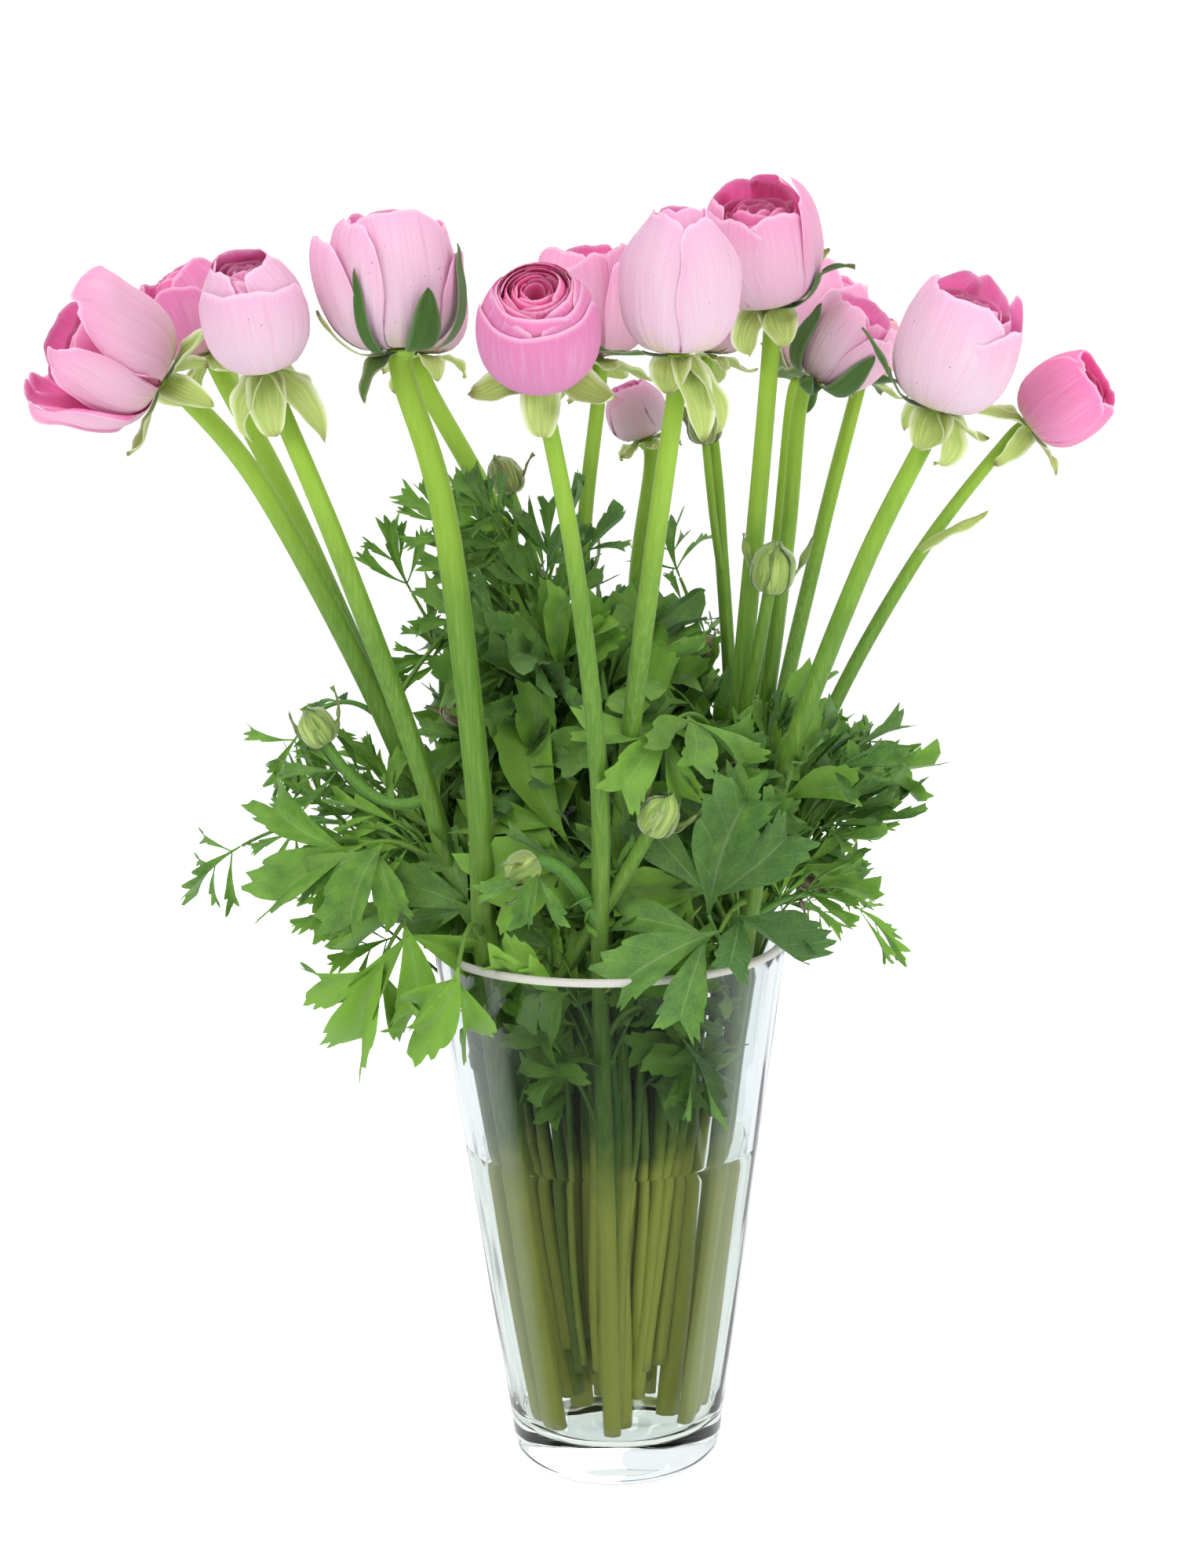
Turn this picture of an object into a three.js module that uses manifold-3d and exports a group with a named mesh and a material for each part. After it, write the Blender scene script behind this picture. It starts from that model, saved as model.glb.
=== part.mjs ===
// A bunch of pink ranunculus standing in a tall, tapered clear glass vase, part filled with water.
//
// Frame: millimetres, +Z up, origin at the centre of the vase's foot, front of the bunch at -Y.
// Every flower is two solids, a stem with its calyx and a head of petals. Every side shoot is one
// solid, a stalk with its leaves and, on some, a bud. Where two plants would cross, the later one
// is cut back from the earlier ones by GAP, so that every piece is a body of its own.

import * as THREE from 'three';
import { mergeVertices } from 'three/addons/utils/BufferGeometryUtils.js';
import Module from 'manifold-3d';

const wasm = await Module();
wasm.setup();

// ---------------------------------------------------------------- driving dimensions (mm)

const GAP = 0.35; // clear space kept between neighbouring solids

const VASE = {
  height: 230, rimRadius: 75, footRadius: 38, heelRadius: 45, heelHeight: 7,
  wall: 4, wellRadius: 41.5, wellHeight: 24, floorRadius: 35, floorHeight: 16.5, sides: 32,
};
const LIP = { inset: 0.8, crown: 0.5, depth: 2 }; // the rounding of the rim's edges
const WATER_LEVEL = 141;
const NARROWING = 0.5; // the stems' spread at the vase's floor, as a share of their spread at its rim

const STEM = { sides: 6, rings: 12, neck: 12 };
const HEAD = { sides: 10, seat: 0.4, usual: 23, shoulder: 0.7 };
const SEPAL = { count: 5, length: 21, width: 10, thickness: 1.4, curl: 0.9, around: 4, along: 3, root: 0.55 };
const STALK = { sides: 4, rings: 5 };
const BUD = { around: 7, along: 5 };

// Leaves: thickness, how far a side leaf splays and each leaf turns round the stalk (radians), and
// how far apart they sit and how much smaller each is than the last, as shares of stalk and leaf.
const LEAF = { thickness: 1.1, splay: 0.95, firstTurn: -0.4, nextTurn: 0.5, spacing: 0.23, shrink: 0.12 };

// Half of a leaf's outline, from its narrow foot over its side lobe to its tip, for unit length.
const LEAF_SIDE = [[0, 0.03], [0.3, 0.07], [0.5, 0.46], [0.62, 0.2], [1, 0]];

// Each flower: where its stem crosses the rim plane, two points on the way up, the base of its
// head, the head's lean from upright and the heading of that lean (degrees, 0 is +X, 90 is +Y),
// the radius of stem and head, the head's height, its mouth as a share of its radius, and how far
// its sepals hang back (degrees from the head's axis).
const FLOWERS = {
  '01': { rim: [-62, 10], via: [[-90, 8, 316], [-136, -5, 416]], base: [-176, -15, 464],
    lean: 58, toward: 197, stem: 4.4, head: 25, tall: 46, mouth: 1.0, hang: 112 },
  '02': { rim: [-54, 34], via: [[-92, 36, 313], [-136, 45, 415]], base: [-164, 45, 474],
    lean: 24, toward: 165, stem: 4.6, head: 20, tall: 40, mouth: 0.6, hang: 112 },
  '03': { rim: [-61, -18], via: [[-73, -28, 298], [-102, -50, 395]], base: [-127, -60, 470],
    lean: 21, toward: 245, stem: 4.2, head: 21.5, tall: 45, mouth: 0.65, hang: 140 },
  '04': { rim: [-50, -38], via: [[-52, -42, 303], [-62, -45, 410]], base: [-77, -45, 476],
    lean: 5, toward: 235, stem: 5.2, head: 24, tall: 51, mouth: 0.72, hang: 78 },
  '05': { rim: [-28, 20], via: [[-15, 28, 283], [-38, 43, 385]], base: [-75, 50, 472],
    lean: 6, toward: 90, stem: 4.5, head: 19, tall: 42, mouth: 0.6, hang: 100 },
  '06': { rim: [-4, -54], via: [[-3, -62, 306], [-11, -76, 395]], base: [-22, -85, 467],
    lean: 42, toward: 268, stem: 3.6, head: 23.5, tall: 44, mouth: 0.72, hang: 108 },
  '07': { rim: [-12, 42], via: [[-10, 48, 286], [-9, 55, 385]], base: [-2, 55, 469],
    lean: 10, toward: 135, stem: 3.4, head: 22, tall: 48, mouth: 0.7, hang: 118 },
  '08': { rim: [4, -30], via: [[7, -45, 300], [19, -70, 395]], base: [29, -80, 473],
    lean: 8, toward: 278, stem: 4.0, head: 23, tall: 54, mouth: 0.55, hang: 142 },
  '09': { rim: [27, 44], via: [[53, 54, 290], [51, 64, 395]], base: [47, 65, 470],
    lean: 8, toward: 45, stem: 3.0, head: 17, tall: 34, mouth: 0.6, hang: 105 },
  '10': { rim: [40, -4], via: [[51, -4, 294], [61, -1, 385]], base: [68, 0, 491],
    lean: 20, toward: 244, stem: 4.0, head: 23.5, tall: 47, mouth: 0.72, hang: 120 },
  '11': { rim: [6, 60], via: [[11, 72, 288], [15, 93, 370]], base: [19, 100, 433],
    lean: 18, toward: 200, stem: 4.0, head: 13.5, tall: 27, mouth: 0.5, hang: 95 },
  '12': { rim: [53, 41], via: [[63, 52, 298], [76, 66, 385]], base: [87, 72, 459],
    lean: 24, toward: 30, stem: 3.2, head: 19, tall: 50, mouth: 0.75, hang: 70 },
  '13': { rim: [42, 20], via: [[63, 22, 296], [77, 25, 390]], base: [90, 26, 459],
    lean: 36, toward: 350, stem: 3.4, head: 17, tall: 38, mouth: 0.9, hang: 95 },
  '14': { rim: [64, 14], via: [[72, 40, 300], [95, 80, 385]], base: [116, 95, 459],
    lean: 18, toward: 20, stem: 3.5, head: 13.5, tall: 29, mouth: 0.45, hang: 65 },
  '15': { rim: [55, -28], via: [[69, -30, 296], [102, -34, 385]], base: [132, -36, 450],
    lean: 22, toward: 315, stem: 4.0, head: 24, tall: 50, mouth: 0.75, hang: 130 },
  '16': { rim: [62, -8], via: [[88, -2, 312], [128, 6, 384]], base: [176, 10, 440],
    lean: 54, toward: 338, stem: 2.9, head: 18.5, tall: 36, mouth: 0.7, hang: 128 },
};

// Each side shoot: the flower stem it grows from and the height there, the point it reaches, how
// far its stalk bows upwards, the stalk's radius, and its leaves' number and length, or its bud.
const SHOOTS = {
  '01': { on: '02', from: 240, to: [-160, 42, 262], bow: 20, stalk: 1.5, leaves: 4, size: 36 },
  '02': { on: '03', from: 296, to: [-119, -12, 322], bow: -14, stalk: 2.3, leaves: 1, size: 30, bud: 8 },
  '03': { on: '03', from: 260, to: [-100, -28, 276], bow: 7, stalk: 1.6, leaves: 2, size: 44 },
  '04': { on: '03', from: 240, to: [-91, -42, 234], bow: 13, stalk: 1.8, leaves: 3, size: 44 },
  '05': { on: '04', from: 236, to: [-60, -68, 235], bow: 12, stalk: 1.8, leaves: 1, size: 36 },
  '06': { on: '01', from: 318, to: [-128, 6, 318], bow: 12, stalk: 1.3, leaves: 3, size: 30 },
  '07': { on: '05', from: 296, to: [-82, 38, 372], bow: -12, stalk: 1.4, leaves: 3, size: 32 },
  '08': { on: '05', from: 320, to: [-58, 24, 394], bow: 9, stalk: 1.6, leaves: 3, size: 34 },
  '09': { on: '07', from: 300, to: [-42, 75, 418], bow: 10, stalk: 1.6, leaves: 4, size: 34, bud: 8 },
  '10': { on: '07', from: 286, to: [-34, 14, 340], bow: 10, stalk: 1.8, leaves: 4, size: 42 },
  '11': { on: '08', from: 286, to: [-4, 20, 352], bow: 8, stalk: 1.6, leaves: 4, size: 38 },
  '12': { on: '09', from: 300, to: [34, 82, 372], bow: 6, stalk: 1.5, leaves: 4, size: 32 },
  '13': { on: '10', from: 300, to: [26, -42, 326], bow: 12, stalk: 1.6, leaves: 2, size: 38 },
  '14': { on: '10', from: 312, to: [68, -22, 385], bow: -6, stalk: 2.6, leaves: 0, size: 0, bud: 9.5 },
  '15': { on: '13', from: 262, to: [51, -40, 304], bow: -8, stalk: 2.2, leaves: 2, size: 34, bud: 6.5 },
  '16': { on: '15', from: 246, to: [40, -50, 250], bow: -14, stalk: 1.8, leaves: 1, size: 52 },
  '17': { on: '16', from: 240, to: [44, -62, 246], bow: 8, stalk: 1.8, leaves: 2, size: 48 },
  '18': { on: '16', from: 282, to: [100, 6, 303], bow: 4, stalk: 1.4, leaves: 4, size: 30 },
  '19': { on: '15', from: 240, to: [101, -12, 244], bow: 8, stalk: 1.5, leaves: 4, size: 32 },
  '20': { on: '14', from: 240, to: [87, 15, 250], bow: 6, stalk: 2.2, leaves: 1, size: 28, bud: 7 },
  '21': { on: '04', from: 186, to: [20, -63, 293], bow: -4, stalk: 2.9, leaves: 1, size: 24, bud: 8.5 },
  '22': { on: '06', from: 246, to: [-34, -70, 274], bow: 12, stalk: 2.7, leaves: 2, size: 32, bud: 7.5 },
  '23': { on: '07', from: 250, to: [-22, -22, 285], bow: 4, stalk: 2.0, leaves: 3, size: 40, bud: 6 },
  '24': { on: '05', from: 268, to: [-62, 0, 326], bow: 4, stalk: 2.2, leaves: 2, size: 38, bud: 6 },
  '25': { on: '06', from: 196, to: [28, -52, 200], bow: 14, stalk: 1.6, leaves: 2, size: 34 },
  '26': { on: '09', from: 372, to: [44, 52, 440], bow: -8, stalk: 1.7, leaves: 0, size: 0, bud: 8 },
};

const FINISH = {
  glass: { color: 0xdfe7e6, roughness: 0.05, metalness: 0, transparent: true, opacity: 0.35 },
  water: { color: 0xc9d3b4, roughness: 0.02, metalness: 0, transparent: true, opacity: 0.35 },
  stem: { color: 0x7dab3c, roughness: 0.6, metalness: 0 },
  petals: { color: 0xf3a9cb, roughness: 0.55, metalness: 0 },
  foliage: { color: 0x3f7038, roughness: 0.6, metalness: 0 },
};

// ---------------------------------------------------------------- solids and meshes

const UP = new THREE.Vector3(0, 0, 1);
const LIGHT = new THREE.Vector3(0, -0.7, 0.7); // leaves turn their faces up and to the front

// A closed geometry as a solid for joining and cutting, turned right side out if need be.
function solidOf(geometry) {
  const bare = geometry.clone();
  bare.deleteAttribute('normal');
  bare.deleteAttribute('uv');
  const merged = mergeVertices(bare, 1e-4);
  const points = merged.attributes.position.array;
  const kept = [];
  let volume = 0;
  const corner = [new THREE.Vector3(), new THREE.Vector3(), new THREE.Vector3()];
  for (let i = 0; i < merged.index.count; i += 3) {
    const tri = [0, 1, 2].map((k) => merged.index.getX(i + k));
    if (tri[0] === tri[1] || tri[1] === tri[2] || tri[2] === tri[0]) continue;
    tri.forEach((at, k) => corner[k].fromArray(points, at * 3));
    volume += corner[0].dot(corner[1].cross(corner[2]));
    kept.push(tri);
  }
  if (volume < 0) kept.forEach((tri) => tri.reverse());
  const mesh = new wasm.Mesh({
    numProp: 3, vertProperties: new Float32Array(points), triVerts: new Uint32Array(kept.flat()),
  });
  return new wasm.Manifold(mesh);
}

// The largest body of a solid that cutting may have left in pieces.
function largestBody(solid) {
  return solid.decompose().reduce((best, body) => (body.volume() > best.volume() ? body : best));
}

// A named mesh whose vertices are measured from its own origin, a point given in the frame.
function meshOf(name, solid, finish, origin = [0, 0, 0]) {
  const { vertProperties, triVerts } = solid.getMesh();
  const geometry = new THREE.BufferGeometry();
  geometry.setAttribute('position', new THREE.BufferAttribute(new Float32Array(vertProperties), 3));
  geometry.setIndex(new THREE.BufferAttribute(new Uint32Array(triVerts), 1));
  geometry.translate(-origin[0], -origin[1], -origin[2]);
  geometry.computeVertexNormals();
  const mesh = new THREE.Mesh(geometry, new THREE.MeshStandardMaterial(finish));
  mesh.name = name;
  mesh.position.set(...origin);
  return mesh;
}

// A turned geometry: the profile's points are (radius, height), and +Z is its axis.
function turned(profile, sides) {
  const points = profile.map(([radius, height]) => new THREE.Vector2(radius, height));
  return new THREE.LatheGeometry(points, sides).rotateX(Math.PI / 2);
}

// A round bar of the given radius along a curve, with its rings spread evenly over the curve's
// way points, so that they lie closer where it bends into a head.
function barAlong(curve, radius, sides, steps) {
  curve.getUtoTmapping = (share) => share;
  const section = new THREE.Shape();
  for (let k = 0; k < sides; k++) {
    const angle = (2 * Math.PI * k) / sides;
    section[k ? 'lineTo' : 'moveTo'](radius * Math.cos(angle), radius * Math.sin(angle));
  }
  return new THREE.ExtrudeGeometry(section, { steps, extrudePath: curve, bevelEnabled: false });
}

// ---------------------------------------------------------------- vase and water

// The inner wall's radius at a height, straight from the well's edge to the lip.
function boreAt(z) {
  const lip = VASE.rimRadius - VASE.wall;
  return THREE.MathUtils.mapLinear(z, VASE.wellHeight, VASE.height, VASE.wellRadius, lip);
}

function vaseSolid(grow) {
  const lip = VASE.rimRadius - VASE.wall;
  const top = VASE.height + grow;
  return solidOf(turned([
    [0, -grow], [VASE.footRadius + grow, -grow], [VASE.heelRadius + grow, VASE.heelHeight],
    [VASE.rimRadius + grow, VASE.height - LIP.depth], [VASE.rimRadius - LIP.inset + grow, top - LIP.crown],
    [VASE.rimRadius - VASE.wall / 2, top], [lip + LIP.inset - grow, top - LIP.crown],
    [lip - grow, VASE.height - LIP.depth], [VASE.wellRadius - grow, VASE.wellHeight],
    [VASE.floorRadius, VASE.floorHeight + grow], [0, VASE.floorHeight + grow],
  ], VASE.sides));
}

// Water fills the well, a hair clear of the glass, and closes round every stem that stands in it.
function waterSolid(plants) {
  const body = solidOf(turned([
    [0, VASE.floorHeight + GAP], [VASE.floorRadius - GAP, VASE.floorHeight + GAP],
    [VASE.wellRadius - GAP, VASE.wellHeight + GAP / 2], [boreAt(WATER_LEVEL) - GAP, WATER_LEVEL],
    [0, WATER_LEVEL],
  ], VASE.sides));
  return largestBody(plants.reduce((left, plant) => left.subtract(plant), body));
}

// ---------------------------------------------------------------- flowers

function axisOf(flower) {
  const lean = THREE.MathUtils.degToRad(flower.lean);
  const toward = THREE.MathUtils.degToRad(flower.toward);
  const across = Math.sin(lean);
  return new THREE.Vector3(across * Math.cos(toward), across * Math.sin(toward), Math.cos(lean));
}

// The line of a stem: straight up from the floor of the vase to the rim, then through its two
// way points, and into the head along the head's own axis.
function stemLine(flower) {
  const [x, y] = flower.rim;
  const slope = (Math.hypot(x, y) * (1 - NARROWING)) / (VASE.height - VASE.floorHeight);
  const low = VASE.floorHeight + GAP + flower.stem * slope;
  const onWayUp = (z) => {
    const share = THREE.MathUtils.mapLinear(z, low, VASE.height, NARROWING, 1);
    return new THREE.Vector3(x * share, y * share, z);
  };
  const base = new THREE.Vector3(...flower.base);
  const neck = base.clone().addScaledVector(axisOf(flower), -STEM.neck);
  const points = [onWayUp(low), onWayUp((low + VASE.height) / 2), onWayUp(VASE.height),
    ...flower.via.map((point) => new THREE.Vector3(...point)), neck, base];
  return new THREE.CatmullRomCurve3(points, false, 'catmullrom', 0.5);
}

// A thin pointed blade, a flattened ball, that leaves the origin along +X and curls down past it.
function sepalBlade(length, width, thickness, curl) {
  const blade = new THREE.SphereGeometry(1, SEPAL.around, SEPAL.along).rotateZ(Math.PI / 2);
  const at = blade.attributes.position;
  for (let i = 0; i < at.count; i++) {
    const along = (at.getX(i) + 1) / 2;
    const across = (at.getZ(i) * width) / 2;
    const bend = curl * along;
    const lift = (at.getY(i) * thickness) / 2;
    const reach = (length * Math.sin(bend)) / curl;
    const drop = (length * (1 - Math.cos(bend))) / curl;
    at.setXYZ(i, reach + lift * Math.sin(bend), across, lift * Math.cos(bend) - drop);
  }
  return blade;
}

function inHeadFrame(geometry, flower) {
  geometry.applyQuaternion(new THREE.Quaternion().setFromUnitVectors(UP, axisOf(flower)));
  return geometry.translate(...flower.base);
}

function stemSolid(flower, grow) {
  const bar = barAlong(stemLine(flower), flower.stem + grow, STEM.sides, STEM.rings);
  const { count, length, width, thickness, curl, root } = SEPAL;
  const scale = flower.head / HEAD.usual;
  const pitch = THREE.MathUtils.degToRad(flower.hang - 90);
  let solid = solidOf(bar);
  for (let k = 0; k < count; k++) {
    const blade = sepalBlade(length * scale + grow, width * scale + 2 * grow, thickness + 2 * grow, curl);
    blade.rotateY(pitch).translate(flower.stem * root, 0, -thickness).rotateZ((2 * Math.PI * k) / count);
    solid = solid.add(solidOf(inHeadFrame(blade, flower)));
  }
  return solid;
}

// A head of petals as one closed cup, round below, with its mouth dished in.
function headSolid(flower, grow) {
  const radius = flower.head + grow;
  const tall = flower.tall + grow;
  const mouth = flower.mouth * radius;
  const seat = HEAD.seat - grow;
  return solidOf(inHeadFrame(turned([
    [0, seat], [radius * 0.3, seat], [radius * 0.78, tall * 0.14], [radius, tall * 0.42],
    [radius * 0.96, tall * 0.68], [Math.max(mouth, radius * HEAD.shoulder), tall * 0.88],
    [mouth * 0.85, tall], [mouth * 0.5, tall * 0.88 + grow], [0, tall * 0.8 + grow],
  ], HEAD.sides), flower));
}

// ---------------------------------------------------------------- side shoots

// The line of a shoot: a bowed arc from inside the stem that carries it to the point it reaches.
function shootLine(shoot) {
  const line = stemLine(FLOWERS[shoot.on]);
  const start = line.getPoints(500).find((point) => point.z >= shoot.from);
  const end = new THREE.Vector3(...shoot.to);
  const middle = start.clone().add(end).multiplyScalar(0.5).addScaledVector(UP, 2 * shoot.bow);
  return new THREE.QuadraticBezierCurve3(start, middle, end);
}

// A three-lobed leaf of unit length, narrow where it joins its stalk.
function leafOutline() {
  const outline = LEAF_SIDE.concat(LEAF_SIDE.slice(0, -1).reverse().map(([x, y]) => [x, -y]));
  return new THREE.Shape(outline.map(([x, y]) => new THREE.Vector2(x, y)));
}

// Leaf number k counts back from the tip: the first carries the stalk's line on, and the others
// leave it to either side in turn, each turned a little further round the stalk.
function leafSolid(shoot, line, k, grow) {
  const share = 1 - LEAF.spacing * k;
  const along = line.getTangent(share);
  const side = new THREE.Vector3().crossVectors(LIGHT, along).normalize();
  side.applyAxisAngle(along, LEAF.firstTurn + LEAF.nextTurn * k);
  const turn = k === 0 ? 0 : LEAF.splay * (k % 2 ? 1 : -1);
  const normal = new THREE.Vector3().crossVectors(along, side).normalize();
  const ahead = along.clone().applyAxisAngle(normal, turn);
  const across = new THREE.Vector3().crossVectors(normal, ahead);
  const length = shoot.size * (1 - LEAF.shrink * k) + grow;
  const depth = LEAF.thickness + 2 * grow;
  const plate = new THREE.ExtrudeGeometry(leafOutline(), { depth: 1, bevelEnabled: false, steps: 1 });
  plate.translate(0, 0, -0.5).scale(length, length + 3 * grow, depth);
  plate.applyMatrix4(new THREE.Matrix4().makeBasis(ahead, across, normal));
  return solidOf(plate.translate(...line.getPoint(share)));
}

function shootSolid(shoot, grow) {
  const line = shootLine(shoot);
  let solid = solidOf(barAlong(line, shoot.stalk + grow, STALK.sides, STALK.rings));
  if (shoot.bud) {
    const bud = new THREE.SphereGeometry(shoot.bud + grow, BUD.around, BUD.along);
    solid = solid.add(solidOf(bud.translate(...shoot.to)));
  }
  const first = shoot.bud ? 1 : 0;
  for (let k = first; k < shoot.leaves + first; k++) {
    solid = solid.add(leafSolid(shoot, line, k, grow));
  }
  return solid;
}

// ---------------------------------------------------------------- the bunch in its vase

const grown = [vaseSolid(GAP)];

// Cuts a new piece back from all that is already placed, then places it too.
function settle(make) {
  const trimmed = largestBody(grown.reduce((left, other) => left.subtract(other), make(0)));
  grown.push(make(GAP));
  return trimmed;
}

const vase = new THREE.Group();
const flowers = new THREE.Group();
const foliage = new THREE.Group();

const heads = {};
for (const [id, flower] of Object.entries(FLOWERS)) heads[id] = settle((grow) => headSolid(flower, grow));
for (const [id, flower] of Object.entries(FLOWERS)) {
  const stem = settle((grow) => stemSolid(flower, grow));
  flowers.add(meshOf(`stem_${id}`, stem, FINISH.stem, flower.base));
  flowers.add(meshOf(`petals_${id}`, heads[id], FINISH.petals, flower.base));
}
for (const [id, shoot] of Object.entries(SHOOTS)) {
  foliage.add(meshOf(`shoot_${id}`, settle((grow) => shootSolid(shoot, grow)), FINISH.foliage, shoot.to));
}
vase.add(meshOf('vase', vaseSolid(0), FINISH.glass));
vase.add(meshOf('water', waterSolid(grown.slice(1)), FINISH.water));

const bouquet = new THREE.Group();
bouquet.add(vase, flowers, foliage);

export default bouquet;
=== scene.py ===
"""A bunch of pink ranunculus in a tall tapered glass vase, with its studio and camera.

Every length is in millimetres until a mesh is made, which is in metres in the model's own frame:
the foot of the vase is centred on the origin, +Z is up and the viewer stands at -Y.
"""

import logging
import math
from collections.abc import Mapping, Sequence
from dataclasses import dataclass, field
from enum import Enum

import bpy
import numpy as np
from mathutils import Matrix


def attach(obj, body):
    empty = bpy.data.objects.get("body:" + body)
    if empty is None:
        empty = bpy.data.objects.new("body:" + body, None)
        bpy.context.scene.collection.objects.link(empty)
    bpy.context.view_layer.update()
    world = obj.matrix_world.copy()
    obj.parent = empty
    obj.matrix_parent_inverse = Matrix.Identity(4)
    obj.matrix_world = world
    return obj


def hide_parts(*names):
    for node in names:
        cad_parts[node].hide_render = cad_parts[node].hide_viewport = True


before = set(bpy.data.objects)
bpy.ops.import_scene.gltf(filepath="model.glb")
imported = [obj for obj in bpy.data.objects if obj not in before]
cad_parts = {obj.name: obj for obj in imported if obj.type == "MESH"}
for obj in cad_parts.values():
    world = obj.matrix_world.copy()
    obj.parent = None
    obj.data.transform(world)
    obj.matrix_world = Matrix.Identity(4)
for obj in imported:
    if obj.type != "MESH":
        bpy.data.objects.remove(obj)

LOG = logging.getLogger("ranunculus")
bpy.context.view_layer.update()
MM = 0.001
UP = np.array([0.0, 0.0, 1.0])
GOLDEN = math.pi * (3.0 - math.sqrt(5.0))  # the turn from one petal to the next, radians
LIGHT = np.array([0.0, -0.7, 0.7])  # leaves turn their upper faces this way

Array = np.ndarray


# ---------------------------------------------------------------- shapes

def unit(vectors: Array) -> Array:
    """Each vector divided by its own length."""
    return vectors / np.linalg.norm(vectors, axis=-1, keepdims=True)


def ease(low: float, high: float, values: Array) -> Array:
    """A smooth step, 0 below low and 1 above high: 3x^2 - 2x^3 of the share x between them."""
    share = np.clip((values - low) / (high - low), 0.0, 1.0)
    return share * share * (3.0 - 2.0 * share)


def smooth_line(knots: Array, shares: Array) -> Array:
    """A uniform Catmull-Rom line through knots, with its ends mirrored beyond the first and last.

    Args:
        knots: The points (n, d) that the line passes through, evenly spaced in share.
        shares: Where to read it, from 0 at the first knot to 1 at the last.

    Returns:
        The points of the line, one for each share.
    """
    known = np.vstack([2 * knots[0] - knots[1], knots, 2 * knots[-1] - knots[-2]])
    spot = np.clip(shares, 0.0, 1.0) * (len(knots) - 1)
    i = np.minimum(spot.astype(int), len(knots) - 2)
    f = (spot - i)[..., None]
    a, b, c, d = (known[i + k] for k in range(4))
    return 0.5 * (2 * b + (c - a) * f + (2 * a - 5 * b + 4 * c - d) * f**2
                  + (3 * b - a - 3 * c + d) * f**3)


def turn_to(axis: Array) -> Array:
    """The least rotation that carries +Z onto axis: I + K + K^2 / (1 + z), K from their cross product."""
    x, y, z = axis
    k = np.array([[0.0, 0.0, x], [0.0, 0.0, y], [-x, -y, 0.0]])
    return np.eye(3) + k + k @ k / (1.0 + z)


def turned(vector: Array, axis: Array, angle: float) -> Array:
    """vector turned about a unit axis that it is square to."""
    return vector * math.cos(angle) + np.cross(axis, vector) * math.sin(angle)


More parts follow.
